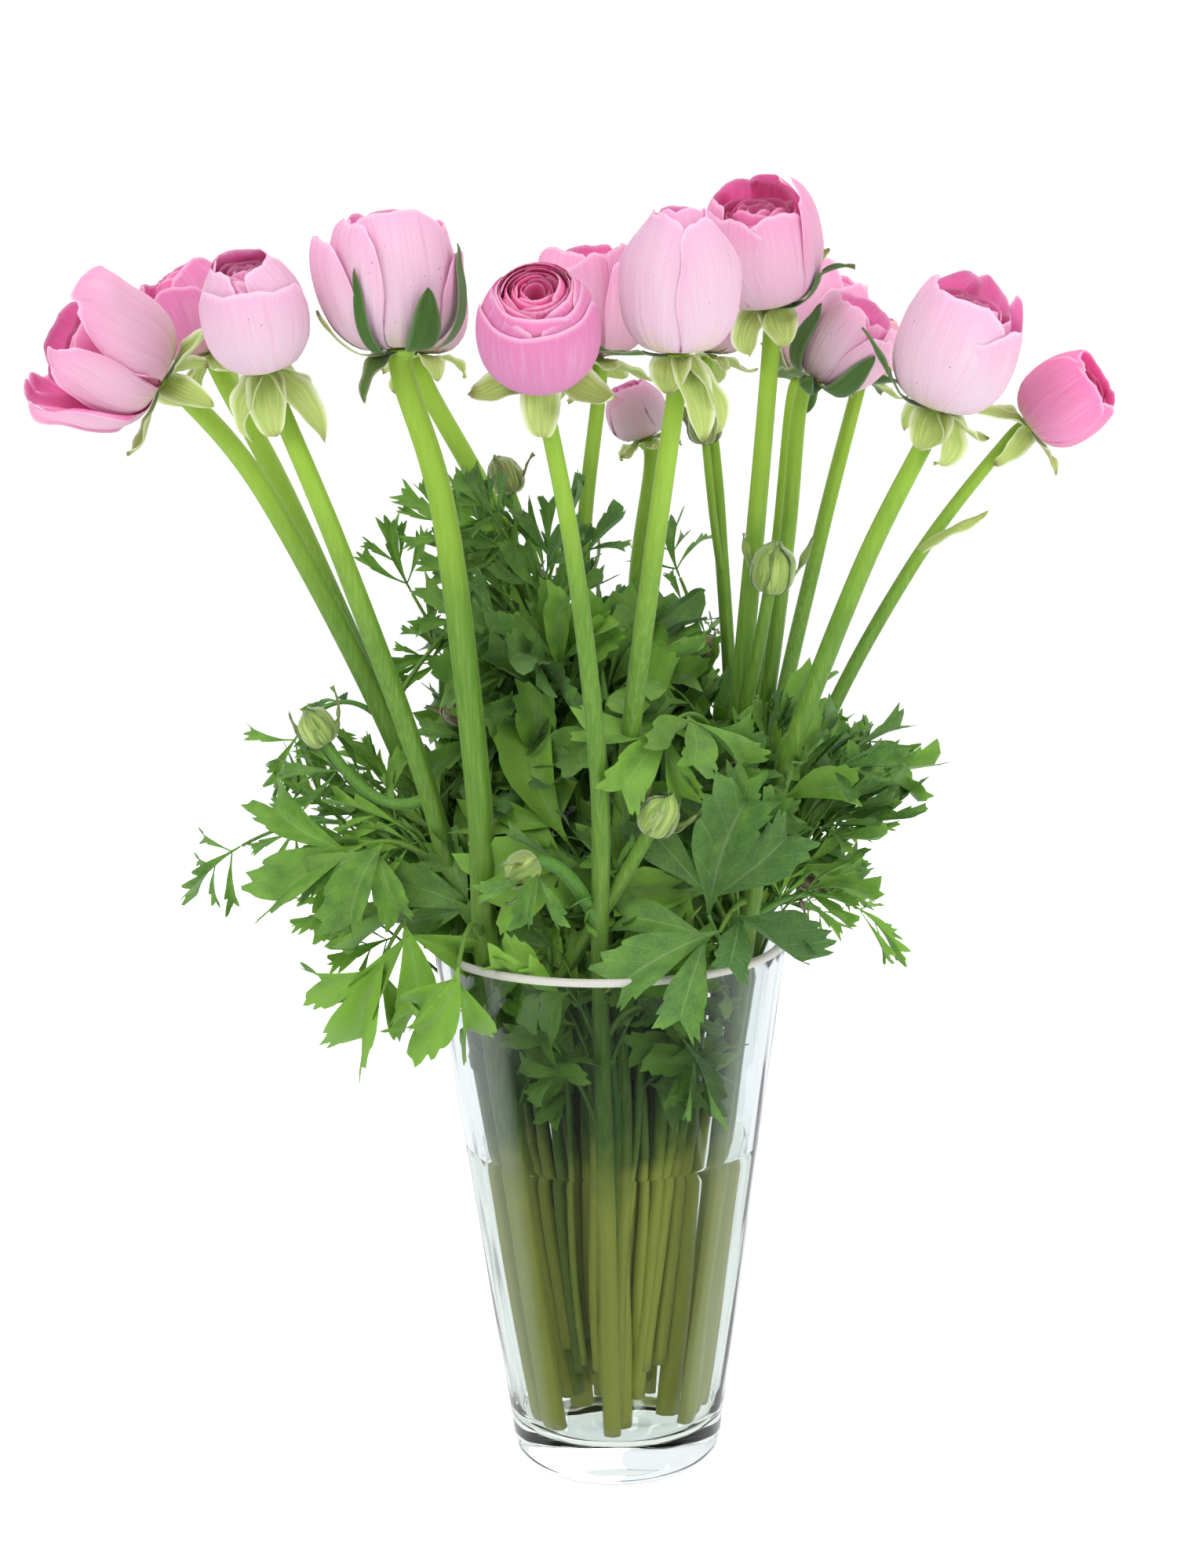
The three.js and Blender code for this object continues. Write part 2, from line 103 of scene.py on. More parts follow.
@dataclass
class Shell:
    """Grids of points gathered into one mesh.

    Each point keeps four traits for the materials to read: along (0 at the root, 1 at the tip),
    across (-1 to 1), inner (1 on the side that faces the middle or the ground) and tone.
    """

    points: list[Array] = field(default_factory=list)
    traits: list[Array] = field(default_factory=list)
    borders: list[Array] = field(default_factory=list)
    faces: list[tuple[Array, int | Array]] = field(default_factory=list)
    count: int = 0

    def _keep(self, points: Array, traits: Array, border: Array) -> int:
        """Stores points with their traits and returns the number of the first."""
        first = self.count
        self.points.append(points.reshape(-1, 3))
        self.traits.append(traits.reshape(-1, 4))
        self.borders.append(border.reshape(-1))
        self.count += self.points[-1].shape[0]
        return first

    def leaf_sheet(self, top: Array, thick: float, traits: Array, dress: int = 0) -> None:
        """A thin closed sheet: a grid and its copy set back along the normals, joined at the rim.

        Args:
            top: The outer side as a grid (n, m, 3); its normal is across x ahead.
            thick: How far the inner side lies behind it, mm.
            traits: The outer side's traits (n, m, 4); the inner side has inner = 1.
            dress: Which of the piece's materials it wears.
        """
        n, m = top.shape[:2]
        normal = np.cross(np.gradient(top, axis=1), np.gradient(top, axis=0))
        normal /= np.maximum(np.linalg.norm(normal, axis=-1, keepdims=True), 1e-9)
        under = (top - thick * normal)[1:-1, 1:-1]
        low = traits[1:-1, 1:-1].copy()
        low[..., 2] = 1.0
        rim = np.ones((n, m), bool)
        rim[1:-1, 1:-1] = False
        first = self._keep(top, traits, rim)
        second = self._keep(under, low, np.zeros((n - 2, m - 2), bool))
        outer = first + np.arange(n * m).reshape(n, m)
        inner = outer.copy()
        inner[1:-1, 1:-1] = second + np.arange((n - 2) * (m - 2)).reshape(n - 2, m - 2)
        self.faces.append((_quads(outer), dress))
        self.faces.append((_quads(inner)[:, ::-1], dress))

    def ring(self, grid: Array, traits: Array, dress: int | Array = 0) -> None:
        """A tube or turned body: rows of a grid (n, m, 3) that close on themselves, with both ends shut.

        Args:
            grid: The points.
            traits: Their traits.
            dress: The material number, or one for each of the n - 1 bands between rows.
        """
        n, m = grid.shape[:2]
        first = self._keep(grid, traits, np.zeros((n, m), bool))
        ends = self._keep(grid[[0, -1]].mean(axis=1), traits[[0, -1]].mean(axis=1), np.zeros(2, bool))
        index = first + np.arange(n * m).reshape(n, m)
        index = np.concatenate([index, index[:, :1]], axis=1)
        bands = np.broadcast_to(dress, n - 1)
        self.faces.append((_quads(index), np.repeat(bands, m)))
        for row, pole, order in ((index[0], ends, (0, 2, 1)), (index[-1], ends + 1, (0, 1, 2))):
            fan = np.stack([np.full(m, pole), row[:-1], row[1:]], axis=1)
            self.faces.append((fan[:, order], int(bands[0])))

    def press(self, vase: "Vase") -> None:
        """Draws in whatever would pass the glass below the rim, so that it lies against the inner wall."""
        for points in self.points:
            radius = np.hypot(points[:, 0], points[:, 1])
            # It keeps 1.2 mm off the inner wall; over the rim it has 40 mm more room to spill out.
            room = vase.inside(points[:, 2]) - 1.2 + 40.0 * ease(vase.height, vase.height + 6.0, points[:, 2])
            points[:, :2] *= np.minimum(1.0, room / np.maximum(radius, 1.0))[:, None]

    def made(self, name: str, materials: Sequence[bpy.types.Material]) -> bpy.types.Object:
        """Makes the mesh and its object.

        Args:
            name: The piece's name.
            materials: Its materials, in the order of the dress numbers.

        Returns:
            The object, at the origin, smooth but for the rims of its sheets.
        """
        mesh = bpy.data.meshes.new(name)
        loops = np.concatenate([faces.reshape(-1) for faces, _ in self.faces])
        sizes = np.concatenate([np.full(len(faces), faces.shape[1]) for faces, _ in self.faces])
        worn = np.concatenate([np.full(len(faces), dress) for faces, dress in self.faces])
        mesh.vertices.add(self.count)
        mesh.vertices.foreach_set("co", (np.concatenate(self.points) * MM).ravel().astype(np.float32))
        mesh.loops.add(len(loops))
        mesh.loops.foreach_set("vertex_index", loops.astype(np.int32))
        mesh.polygons.add(len(sizes))
        mesh.polygons.foreach_set("loop_start", (np.cumsum(sizes) - sizes).astype(np.int32))
        mesh.polygons.foreach_set("material_index", worn.astype(np.int32))
        mesh.update(calc_edges=True)
        mesh.shade_smooth()
        rim = np.concatenate(self.borders)
        ends = np.empty(len(mesh.edges) * 2, np.int32)
        mesh.edges.foreach_get("vertices", ends)
        sharp = mesh.attributes.new("sharp_edge", "BOOLEAN", "EDGE")
        sharp.data.foreach_set("value", rim[ends.reshape(-1, 2)].all(axis=1))
        traits = np.concatenate(self.traits)
        for k, trait in enumerate(("along", "across", "inner", "tone")):
            layer = mesh.attributes.new(trait, "FLOAT", "POINT")
            layer.data.foreach_set("value", traits[:, k].astype(np.float32))
        for material in materials:
            mesh.materials.append(material)
        piece = bpy.data.objects.new(name, mesh)
        bpy.context.scene.collection.objects.link(piece)
        return piece


def _quads(index: Array) -> Array:
    """The quads between neighbouring rows and columns of a grid of point numbers."""
    return np.stack([index[:-1, :-1], index[:-1, 1:], index[1:, 1:], index[1:, :-1]], axis=-1).reshape(-1, 4)


def traits_of(along: Array, across: Array | float, inner: float, tone: float) -> Array:
    """The four traits as one array of along's shape by 4."""
    parts = [np.broadcast_to(part, along.shape) for part in (along, across, inner, tone)]
    return np.stack(parts, axis=-1).astype(float)


def tube(shell: Shell, path: Array, radius: Array, sides: int, tone: float, dress: int = 0,
         ribs: int = 0, rib: float = 0.0) -> None:
    """A round bar along a path: point + radius * (cos a * side + sin a * other), ribbed by cos(ribs * a).

    Args:
        shell: Where the bar is added.
        path: Its centre line (n, 3), mm.
        radius: Its radius at each point, mm.
        sides: How many points go round.
        tone: Its tone trait.
        dress: Which of the piece's materials it wears.
        ribs: How many ribs run along it.
        rib: How far they stand, as a share of the radius.
    """
    tangent = unit(np.gradient(path, axis=0))
    chord = path[-1] - path[0]
    aside = np.eye(3)[np.argmin(np.abs(chord))]
    side = unit(np.cross(aside, tangent))
    other = np.cross(tangent, side)
    angle = np.linspace(0.0, 2 * math.pi, sides, endpoint=False)
    swell = radius[:, None] * (1.0 + rib * np.cos(ribs * angle))[None]
    grid = path[:, None] + swell[..., None] * (
        np.cos(angle)[None, :, None] * side[:, None] + np.sin(angle)[None, :, None] * other[:, None])
    along = np.broadcast_to(np.linspace(0.0, 1.0, len(path))[:, None], grid.shape[:2])
    shell.ring(grid, traits_of(along, np.cos(angle)[None], 0.0, tone), dress)


# ---------------------------------------------------------------- materials

def tint(code: str) -> tuple[float, float, float, float]:
    """An sRGB hex colour as linear red, green, blue and 1."""
    parts = [int(code[i:i + 2], 16) / 255.0 for i in (1, 3, 5)]
    linear = [c / 12.92 if c <= 0.04045 else ((c + 0.055) / 1.055) ** 2.4 for c in parts]
    return (*linear, 1.0)


def put(tree: bpy.types.NodeTree, kind: str, inputs: Mapping[int | str, object] | None = None,
        **settings: object) -> bpy.types.Node:
    """Adds a node.

    Args:
        tree: The node tree.
        kind: The node's class name.
        inputs: For each input, a value or the socket that feeds it.
        **settings: The node's own properties.

    Returns:
        The node.
    """
    node = tree.nodes.new(kind)
    for name, value in settings.items():
        setattr(node, name, value)
    for name, value in (inputs or {}).items():
        if isinstance(value, bpy.types.NodeSocket):
            tree.links.new(value, node.inputs[name])
        else:
            node.inputs[name].default_value = value
    return node


class Dye:
    """A material being mixed: its node tree, the traits it reads and the colours it blends."""

    def __init__(self, name: str) -> None:
        """Starts an empty material of that name."""
        self.material = bpy.data.materials.new(name)
        self.material.use_nodes = True
        self.tree = self.material.node_tree
        self.tree.nodes.clear()

    def trait(self, name: str) -> bpy.types.NodeSocket:
        """One of the mesh's traits as a number."""
        return put(self.tree, "ShaderNodeAttribute", attribute_name=name).outputs["Fac"]

    def span(self, value: bpy.types.NodeSocket, low: float, high: float, start: float = 0.0,
             end: float = 1.0) -> bpy.types.NodeSocket:
        """value carried from low..high to start..end by a smooth step."""
        return put(self.tree, "ShaderNodeMapRange", {0: value, 1: low, 2: high, 3: start, 4: end},
                   interpolation_type="SMOOTHSTEP").outputs[0]

    def sum(self, kind: str, first: object, second: object = 0.0) -> bpy.types.NodeSocket:
        """A sum of two numbers, such as MULTIPLY or ADD."""
        return put(self.tree, "ShaderNodeMath", {0: first, 1: second}, operation=kind).outputs[0]

    def blend(self, share: object, first: object, second: object, how: str = "MIX") -> bpy.types.NodeSocket:
        """Two colours blended by a share; a hex code stands for its colour."""
        a, b = (tint(c) if isinstance(c, str) else c for c in (first, second))
        return put(self.tree, "ShaderNodeMix", {0: share, 6: a, 7: b}, data_type="RGBA",
                   blend_type=how, clamp_factor=True).outputs[2]

    def noise(self, where: bpy.types.NodeSocket, scale: float, detail: float = 3.0,
              rough: float = 0.55) -> bpy.types.NodeSocket:
        """Cloudy noise at a scale, 0 to 1."""
        return put(self.tree, "ShaderNodeTexNoise", {"Vector": where, "Scale": scale, "Detail": detail,
                                                     "Roughness": rough}).outputs[0]

    def weave(self, x: object, y: object, z: object,
              scale: tuple[float, float, float]) -> bpy.types.NodeSocket:
        """A pattern's place made of three numbers, each stretched."""
        place = put(self.tree, "ShaderNodeCombineXYZ", {0: x, 1: y, 2: z}).outputs[0]
        return put(self.tree, "ShaderNodeVectorMath", {0: place, 1: scale}, operation="MULTIPLY").outputs[0]

    def body(self) -> bpy.types.NodeSocket:
        """The place on the piece, in metres of the model's frame."""
        return put(self.tree, "ShaderNodeTexCoord").outputs["Object"]

    def bump(self, height: bpy.types.NodeSocket, rise: float, strength: float = 1.0) -> bpy.types.NodeSocket:
        """A relief of so many metres of rise."""
        return put(self.tree, "ShaderNodeBump", {"Strength": strength, "Distance": rise,
                                                 "Height": height}).outputs[0]

    def finish(self, shader: bpy.types.NodeSocket) -> bpy.types.Material:
        """Wires the shader to the surface and returns the material."""
        put(self.tree, "ShaderNodeOutputMaterial", {0: shader})
        return self.material


@dataclass(frozen=True)
class PetalFinish:
    """Petal: living tissue a third of a millimetre thick, satin, that glows with light from behind.

    The outside is pale with a greenish white foot, the inside far deeper, and fine veins fan
    from foot to rim. Light passes through, so overlapping petals look deeper than single ones.
    """

    name: str
    outside: str
    rim: str
    inside: str
    deep: str
    foot: str = "#E4E8B8"
    specks: float = 0.0  # how strongly dust shows on it, as a share
    through: float = 0.48  # how much of it lets light through, as a share
    vein_count: float = 56.0  # veins from edge to edge, about one a millimetre on a broad petal

    def material(self) -> bpy.types.Material:
        """Mixes the petal material."""
        dye = Dye(self.name)
        along, across, inner, tone = (dye.trait(t) for t in ("along", "across", "inner", "tone"))
        where = dye.weave(across, along, tone, (self.vein_count * 0.5, 2.2, 60.0))
        veins = dye.noise(where, 1.0, 2.0)
        cloud = dye.noise(dye.body(), 60.0, 2.0)
        height = dye.sum("ADD", along, dye.sum("MULTIPLY", dye.sum("SUBTRACT", veins, 0.5), 0.35))
        outside = dye.blend(dye.span(height, 0.02, 0.36), self.foot, self.outside)
        outside = dye.blend(dye.span(height, 0.50, 1.00), outside, self.rim)
        outside = dye.blend(dye.span(tone, 0.12, 0.8, 0.0, 0.8), outside, self.inside)
        inside = dye.blend(dye.span(height, 0.35, 1.02), self.deep, self.inside)
        # Near the rim the inner face fades halfway to the rim colour: partly a paler rim, partly painted
        # light that stands for light coming through the petal there.
        inside = dye.blend(dye.span(height, 0.80, 1.02, 0.0, 0.5), inside, self.rim)
        colour = dye.blend(inner, outside, inside)
        colour = dye.blend(dye.span(cloud, 0.35, 0.75, 0.0, 0.12), colour, self.rim)
        colour = dye.blend(dye.span(veins, 0.32, 0.6, 0.13, 0.0), colour, self.deep)
        colour = dye.blend(dye.span(veins, 0.5, 0.72, 0.0, 0.18), colour, "#FFF4FA")
        # The last half millimetre of a petal, faded in over about 3 mm before it, is lightened on both sides:
        # partly its thinner, paler margin and partly a painted highlight along the rim.
        colour = dye.blend(dye.span(along, 0.935, 0.99, 0.0, 0.55), colour, "#FFEAF5")
        if self.specks:
            # Pollen and dust lie on the petals in specks about half a millimetre wide, fewer than
            # one a square centimetre.
            dots = put(dye.tree, "ShaderNodeTexVoronoi", {"Vector": dye.body(), "Scale": 210.0}).outputs[0]
            patchy = dye.noise(dye.body(), 90.0)
            dots = dye.sum("MULTIPLY", dye.span(dots, 0.05, 0.085, 1.0, 0.0), dye.span(patchy, 0.44, 0.56))
            colour = dye.blend(dye.sum("MULTIPLY", dots, self.specks), colour, "#6A4A3C")
        # Soft folds a few millimetres wide run up the petal under the fine veins.
        folds = dye.noise(dye.weave(across, along, tone, (5.0, 1.1, 60.0)), 1.0, 2.0)
        relief = dye.bump(dye.sum("ADD", folds, dye.sum("MULTIPLY", veins, 0.16)), 0.0022, 0.55)
        skin = put(dye.tree, "ShaderNodeBsdfPrincipled", {
            "Base Color": colour, "Roughness": 0.6, "Specular IOR Level": 0.22, "Normal": relief,
            "Sheen Weight": 0.15, "Sheen Roughness": 0.4}).outputs[0]
        lit_through = dye.blend(0.35, colour, "#F6C2E4")
        glow = put(dye.tree, "ShaderNodeBsdfTranslucent", {"Color": lit_through, "Normal": relief}).outputs[0]
        both = put(dye.tree, "ShaderNodeMixShader", {0: self.through, 1: skin, 2: glow}).outputs[0]
        return dye.finish(both)


class PetalTone(Enum):
    """The petal colours in the bunch, from nearly white to the deepest."""

    SHELL = PetalFinish("petal_shell_pink", "#F1E4EF", "#F1D2E6", "#FA9ED2", "#FF7CC2", specks=0.8)
    BLUSH = PetalFinish("petal_blush_pink", "#F1D6E9", "#F1BEDC", "#FA8AC8", "#FF6CB8")
    ROSE = PetalFinish("petal_rose_pink", "#E6A0CE", "#EA98CA", "#FF80C0", "#FF68B4")
    DEEP = PetalFinish("petal_deep_pink", "#F9A6D4", "#F99ACE", "#FB6CB6", "#FA50A4")
    PEACH = PetalFinish("petal_peach", "#F6DAD2", "#F4C2C4", "#F2A2AC", "#EA808C")


@dataclass(frozen=True)
class HeartFinish:
    """Heart: a knot of unripe green seed cases and coral stamens, matt and pimpled."""

    low: str = "#D9606A"
    high: str = "#5B4A2A"

    def material(self) -> bpy.types.Material:
        """Mixes the heart's material."""
        dye = Dye("seed_heart")
        cells = put(dye.tree, "ShaderNodeTexVoronoi", {"Vector": dye.body(), "Scale": 900.0}).outputs[0]
        colour = dye.blend(dye.span(dye.trait("along"), 0.35, 0.75), self.low, self.high)
        colour = dye.blend(dye.span(cells, 0.1, 0.6, 0.5, 0.0), colour, "#A8A24A")
        return dye.finish(put(dye.tree, "ShaderNodeBsdfPrincipled", {
            "Base Color": colour, "Roughness": 0.7, "Normal": dye.bump(cells, 0.0004)}).outputs[0])


@dataclass(frozen=True)
class SepalFinish:
    """Sepal: soft green skin with papery white margins and a coat of short hairs that catch light."""

    pale: str = "#D2DF88"
    margin: str = "#F0F2DA"
    dark: str = "#3E6A2C"
    tip: str = "#8E7C4A"

    def material(self) -> bpy.types.Material:
        """Mixes the sepal material; a high tone is a dark leafy sepal."""
        dye = Dye("sepal_skin")
        along, across, tone = (dye.trait(t) for t in ("along", "across", "tone"))
        veins = dye.noise(dye.weave(across, along, tone, (9.0, 1.5, 40.0)), 1.0, 2.0)
        cloud = dye.noise(dye.body(), 160.0)
        green = dye.blend(dye.span(tone, 0.3, 0.9), self.pale, self.dark)
        green = dye.blend(dye.span(veins, 0.35, 0.7, 0.35, 0.0), green, "#6F9A3E")
        edge = dye.sum("MULTIPLY", dye.sum("ABSOLUTE", across), dye.sum("ABSOLUTE", across))
        papery = dye.sum("MULTIPLY", dye.span(edge, 0.4, 0.95), dye.span(tone, 0.55, 0.9, 0.85, 0.1))
        colour = dye.blend(papery, green, self.margin)
        burnt = dye.sum("MULTIPLY", dye.span(along, 0.86, 1.0, 0.0, 0.75), dye.span(cloud, 0.4, 0.6))
        colour = dye.blend(burnt, colour, self.tip)
        relief = dye.bump(veins, 0.0004, 0.6)
        skin = put(dye.tree, "ShaderNodeBsdfPrincipled", {
            "Base Color": colour, "Roughness": 0.55, "Normal": relief, "Specular IOR Level": 0.3,
            "Sheen Weight": 0.3, "Sheen Roughness": 0.45}).outputs[0]
        glow = put(dye.tree, "ShaderNodeBsdfTranslucent", {"Color": colour, "Normal": relief}).outputs[0]
        return dye.finish(put(dye.tree, "ShaderNodeMixShader", {0: 0.4, 1: skin, 2: glow}).outputs[0])


@dataclass(frozen=True)
class StemFinish:
    """Stem: a juicy hollow stalk with fine ribs and white down; lime near the flower, which is a painted
    backlight, darker below.
    """

    # The top colour is painted backlight on the upper stem.
    top: str = "#90B636"
    middle: str = "#547E24"
    low: str = "#547826"
    # Below the waterline the stem is painted pale yellow green: a painted haze that stands for the light the
    # water scatters over it.
    painted_water_haze: str = "#C4C85A"

    def material(self) -> bpy.types.Material:
        """Mixes the stem material, which changes with height above the table."""
        dye = Dye("stem_skin")
        place = dye.body()
        height = put(dye.tree, "ShaderNodeSeparateXYZ", {0: place}).outputs[2]
        streaks = dye.noise(put(dye.tree, "ShaderNodeVectorMath", {0: place, 1: (1.0, 1.0, 0.06)},
                                operation="MULTIPLY").outputs[0], 900.0, 2.0)
        cloud = dye.noise(place, 35.0)
        height = dye.sum("ADD", height, dye.sum("MULTIPLY", dye.sum("SUBTRACT", cloud, 0.5), 0.06))
        # Pale below the waterline, a painted haze; darker green in the middle; painted lime backlight near
        # the flower.
        colour = dye.blend(dye.span(height, 0.12, 0.16), self.painted_water_haze, self.low)
        colour = dye.blend(dye.span(height, 0.22, 0.36), colour, self.middle)
        colour = dye.blend(dye.span(height, 0.34, 0.46), colour, self.top)
        colour = dye.blend(dye.span(streaks, 0.35, 0.75, 0.0, 0.2), colour, "#A3C25A")
        colour = dye.blend(dye.span(dye.trait("tone"), 0.4, 1.0, 0.0, 0.6), colour, "#3F7A30")
        relief = dye.bump(streaks, 0.0002, 0.5)
        skin = put(dye.tree, "ShaderNodeBsdfPrincipled", {
            "Base Color": colour, "Roughness": 0.42, "Normal": relief, "Specular IOR Level": 0.4,
            "Sheen Weight": 0.25, "Sheen Roughness": 0.3}).outputs[0]
        glow = put(dye.tree, "ShaderNodeBsdfTranslucent", {"Color": colour}).outputs[0]
        return dye.finish(put(dye.tree, "ShaderNodeMixShader", {0: 0.12, 1: skin, 2: glow}).outputs[0])


@dataclass(frozen=True)
class LeafFinish:
    """Leaf: a thin satin blade, deep green above with paler sunk veins and greyer below.

    It is bright where light comes through it.
    """

    dark: str = "#3F6C31"
    bright: str = "#86B83A"
    vein: str = "#A4C878"
    under: str = "#86B070"
    vein_pairs: float = 5.0

    def material(self) -> bpy.types.Material:
        """Mixes the leaf material; tone runs from a dark leaf to a bright one."""
        dye = Dye("leaf_blade")
        along, across, inner, tone = (dye.trait(t) for t in ("along", "across", "inner", "tone"))
        out = dye.sum("ABSOLUTE", across)
        cloud = dye.noise(dye.body(), 120.0)
        cells = dye.noise(dye.body(), 1500.0, 2.0)
        lit = dye.sum("ADD", tone, dye.sum("MULTIPLY", dye.sum("SUBTRACT", cloud, 0.45), 0.9))
        green = dye.blend(dye.span(lit, 0.0, 1.0), self.dark, self.bright)
        green = dye.blend(dye.span(cells, 0.3, 0.75, 0.0, 0.22), green, self.vein)
        # The side veins run with the grid, so that each is a thin band of the along trait.
        wave = put(dye.tree, "ShaderNodeMath", {0: dye.sum("MULTIPLY", along, self.vein_pairs)},
                   operation="FRACT").outputs[0]
        side = dye.span(dye.sum("ABSOLUTE", dye.sum("SUBTRACT", wave, 0.5)), 0.0, 0.07, 0.16, 0.0)
        mid = dye.span(out, 0.0, 0.08, 0.38, 0.0)
        line = dye.sum("MAXIMUM", side, mid)
        above = dye.blend(line, green, self.vein)
        below = dye.blend(0.45, green, self.under)
        colour = dye.blend(inner, above, below)
        relief = dye.bump(dye.sum("SUBTRACT", cells, line), 0.0004, 0.5)
        skin = put(dye.tree, "ShaderNodeBsdfPrincipled", {
            "Base Color": colour, "Roughness": 0.40, "Normal": relief, "Specular IOR Level": 0.5,
            "Sheen Weight": 0.08, "Sheen Roughness": 0.5}).outputs[0]
        lively = dye.blend(0.35, colour, "#9BD62E")
        glow = put(dye.tree, "ShaderNodeBsdfTranslucent", {"Color": lively, "Normal": relief}).outputs[0]
        return dye.finish(put(dye.tree, "ShaderNodeMixShader", {0: 0.38, 1: skin, 2: glow}).outputs[0])


@dataclass(frozen=True)
class BudFinish:
    """Bud: tight hairy sepals, yellow green with brown seams; a high tone is a dark winy bud."""

    green: str = "#728F3C"
    seam: str = "#4E4A26"
    wine: str = "#4A2A2A"

    def material(self) -> bpy.types.Material:
        """Mixes the bud material."""
        dye = Dye("bud_skin")
        along, across, tone = (dye.trait(t) for t in ("along", "across", "tone"))
        streaks = dye.noise(dye.weave(across, along, tone, (7.0, 1.2, 50.0)), 1.0, 3.0)
        edge = dye.span(dye.sum("ABSOLUTE", across), 0.55, 1.0)
        colour = dye.blend(dye.span(tone, 0.2, 0.9), self.green, self.wine)
        colour = dye.blend(dye.span(streaks, 0.4, 0.7, 0.0, 0.45), colour, "#C9D27A")
        colour = dye.blend(dye.sum("MULTIPLY", edge, 0.6), colour, self.seam)
        colour = dye.blend(dye.span(along, 0.75, 1.0, 0.0, 0.6), colour, "#4F7A3A")
        return dye.finish(put(dye.tree, "ShaderNodeBsdfPrincipled", {
            "Base Color": colour, "Roughness": 0.6, "Normal": dye.bump(streaks, 0.0004, 0.6),
            "Sheen Weight": 0.6, "Sheen Roughness": 0.4}).outputs[0])


@dataclass(frozen=True)
class GlassFinish:
    """Soda glass, pressed and fire polished: clear, faintly blue, with slow waves from the mould."""

    ior: float = 1.46  # matched; real soda glass has about 1.52
    body: str = "#F4F9FA"

    def material(self) -> bpy.types.Material:
        """Mixes the glass."""
        dye = Dye("soda_glass")
        place = put(dye.tree, "ShaderNodeVectorMath", {0: dye.body(), 1: (1.0, 1.0, 0.12)},
                    operation="MULTIPLY").outputs[0]
        relief = dye.bump(dye.noise(place, 45.0, 1.0), 0.0022, 0.35)
        return dye.finish(put(dye.tree, "ShaderNodeBsdfPrincipled", {
            "Base Color": tint(self.body), "Roughness": 0.0, "IOR": self.ior, "Normal": relief,
            "Transmission Weight": 1.0}).outputs[0])


@dataclass(frozen=True)
class LipFinish:
    """Lip: clear glass under a milky white skin, a painted glint that stands for the bright band of light the
    rounded lip refracts and reflects.
    """

    ior: float = 1.5
    body: str = "#F1EEE6"

    def material(self) -> bpy.types.Material:
        """Mixes the lip: clear glass with a milky skin over it, which is a painted glint."""
        dye = Dye("lip_painted_glint")
        scratches = dye.noise(dye.body(), 700.0, 2.0)
        clear = put(dye.tree, "ShaderNodeBsdfPrincipled", {
            "Base Color": tint(self.body), "Roughness": 0.25, "IOR": self.ior,
            "Normal": dye.bump(scratches, 0.0002), "Transmission Weight": 1.0}).outputs[0]
        # The milky skin is a painted glint: its near white stands for the light the lip bends and mirrors.
        painted_glint = put(dye.tree, "ShaderNodeBsdfPrincipled", {
            "Base Color": dye.blend(scratches, "#DAD6CC", self.body), "Roughness": 0.5}).outputs[0]
        return dye.finish(put(dye.tree, "ShaderNodeMixShader", {0: 0.55, 1: clear, 2: painted_glint}).outputs[0])


@dataclass(frozen=True)
class WaterFinish:
    """Flower water a day old: a faint yellow green haze that softens what stands in it."""

    ior: float = 1.06  # matched, for clear margins beside the stems; real water has 1.33
    body: str = "#F7F9F2"

    def material(self) -> bpy.types.Material:
        """Mixes the water."""
        dye = Dye("flower_water")
        relief = dye.bump(dye.noise(dye.body(), 40.0, 1.0), 0.0006, 0.3)
        return dye.finish(put(dye.tree, "ShaderNodeBsdfPrincipled", {
            "Base Color": tint(self.body), "Roughness": 0.07, "IOR": self.ior, "Normal": relief,
            "Transmission Weight": 1.0}).outputs[0])


@dataclass(frozen=True)
class FloorFinish:
    """Seamless white paper lit until it burns out, with only a trace of shadow under the foot."""

    glow: float = 0.52  # light of its own, which stands for the lamps that burn the paper out

    def material(self) -> bpy.types.Material:
        """Mixes the floor."""
        dye = Dye("white_paper")
        grain = dye.noise(dye.body(), 600.0)
        paper = put(dye.tree, "ShaderNodeBsdfDiffuse", {
            "Color": dye.blend(grain, "#F6F6F6", "#FAFAFA")}).outputs[0]
        light = put(dye.tree, "ShaderNodeEmission", {
            "Color": (1.0, 1.0, 1.0, 1.0), "Strength": self.glow}).outputs[0]
        return dye.finish(put(dye.tree, "ShaderNodeAddShader", {0: paper, 1: light}).outputs[0])


class Wardrobe:
    """Every material of the bunch, each mixed once."""

    def __init__(self) -> None:
        """Mixes them all."""
        self.petals = {tone: tone.value.material() for tone in PetalTone}
        self.heart = HeartFinish().material()
        self.sepal = SepalFinish().material()
        self.stem = StemFinish().material()
        self.leaf = LeafFinish().material()
        self.bud = BudFinish().material()
        self.glass = GlassFinish().material()
        self.lip = LipFinish().material()
        self.water = WaterFinish().material()
        self.foliage = [self.leaf, self.stem, self.bud]  # in the order of a shoot's dress numbers


def settled(piece: bpy.types.Object, slot: str, *nodes: str) -> None:
    """Lets a piece ride on the body, hides the model's parts that it stands for, and logs its face count."""
    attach(piece, "root")
    if nodes:
        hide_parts(*nodes)
    LOG.info("%s: %d faces", piece.name, len(piece.data.polygons))


# ---------------------------------------------------------------- vase and water

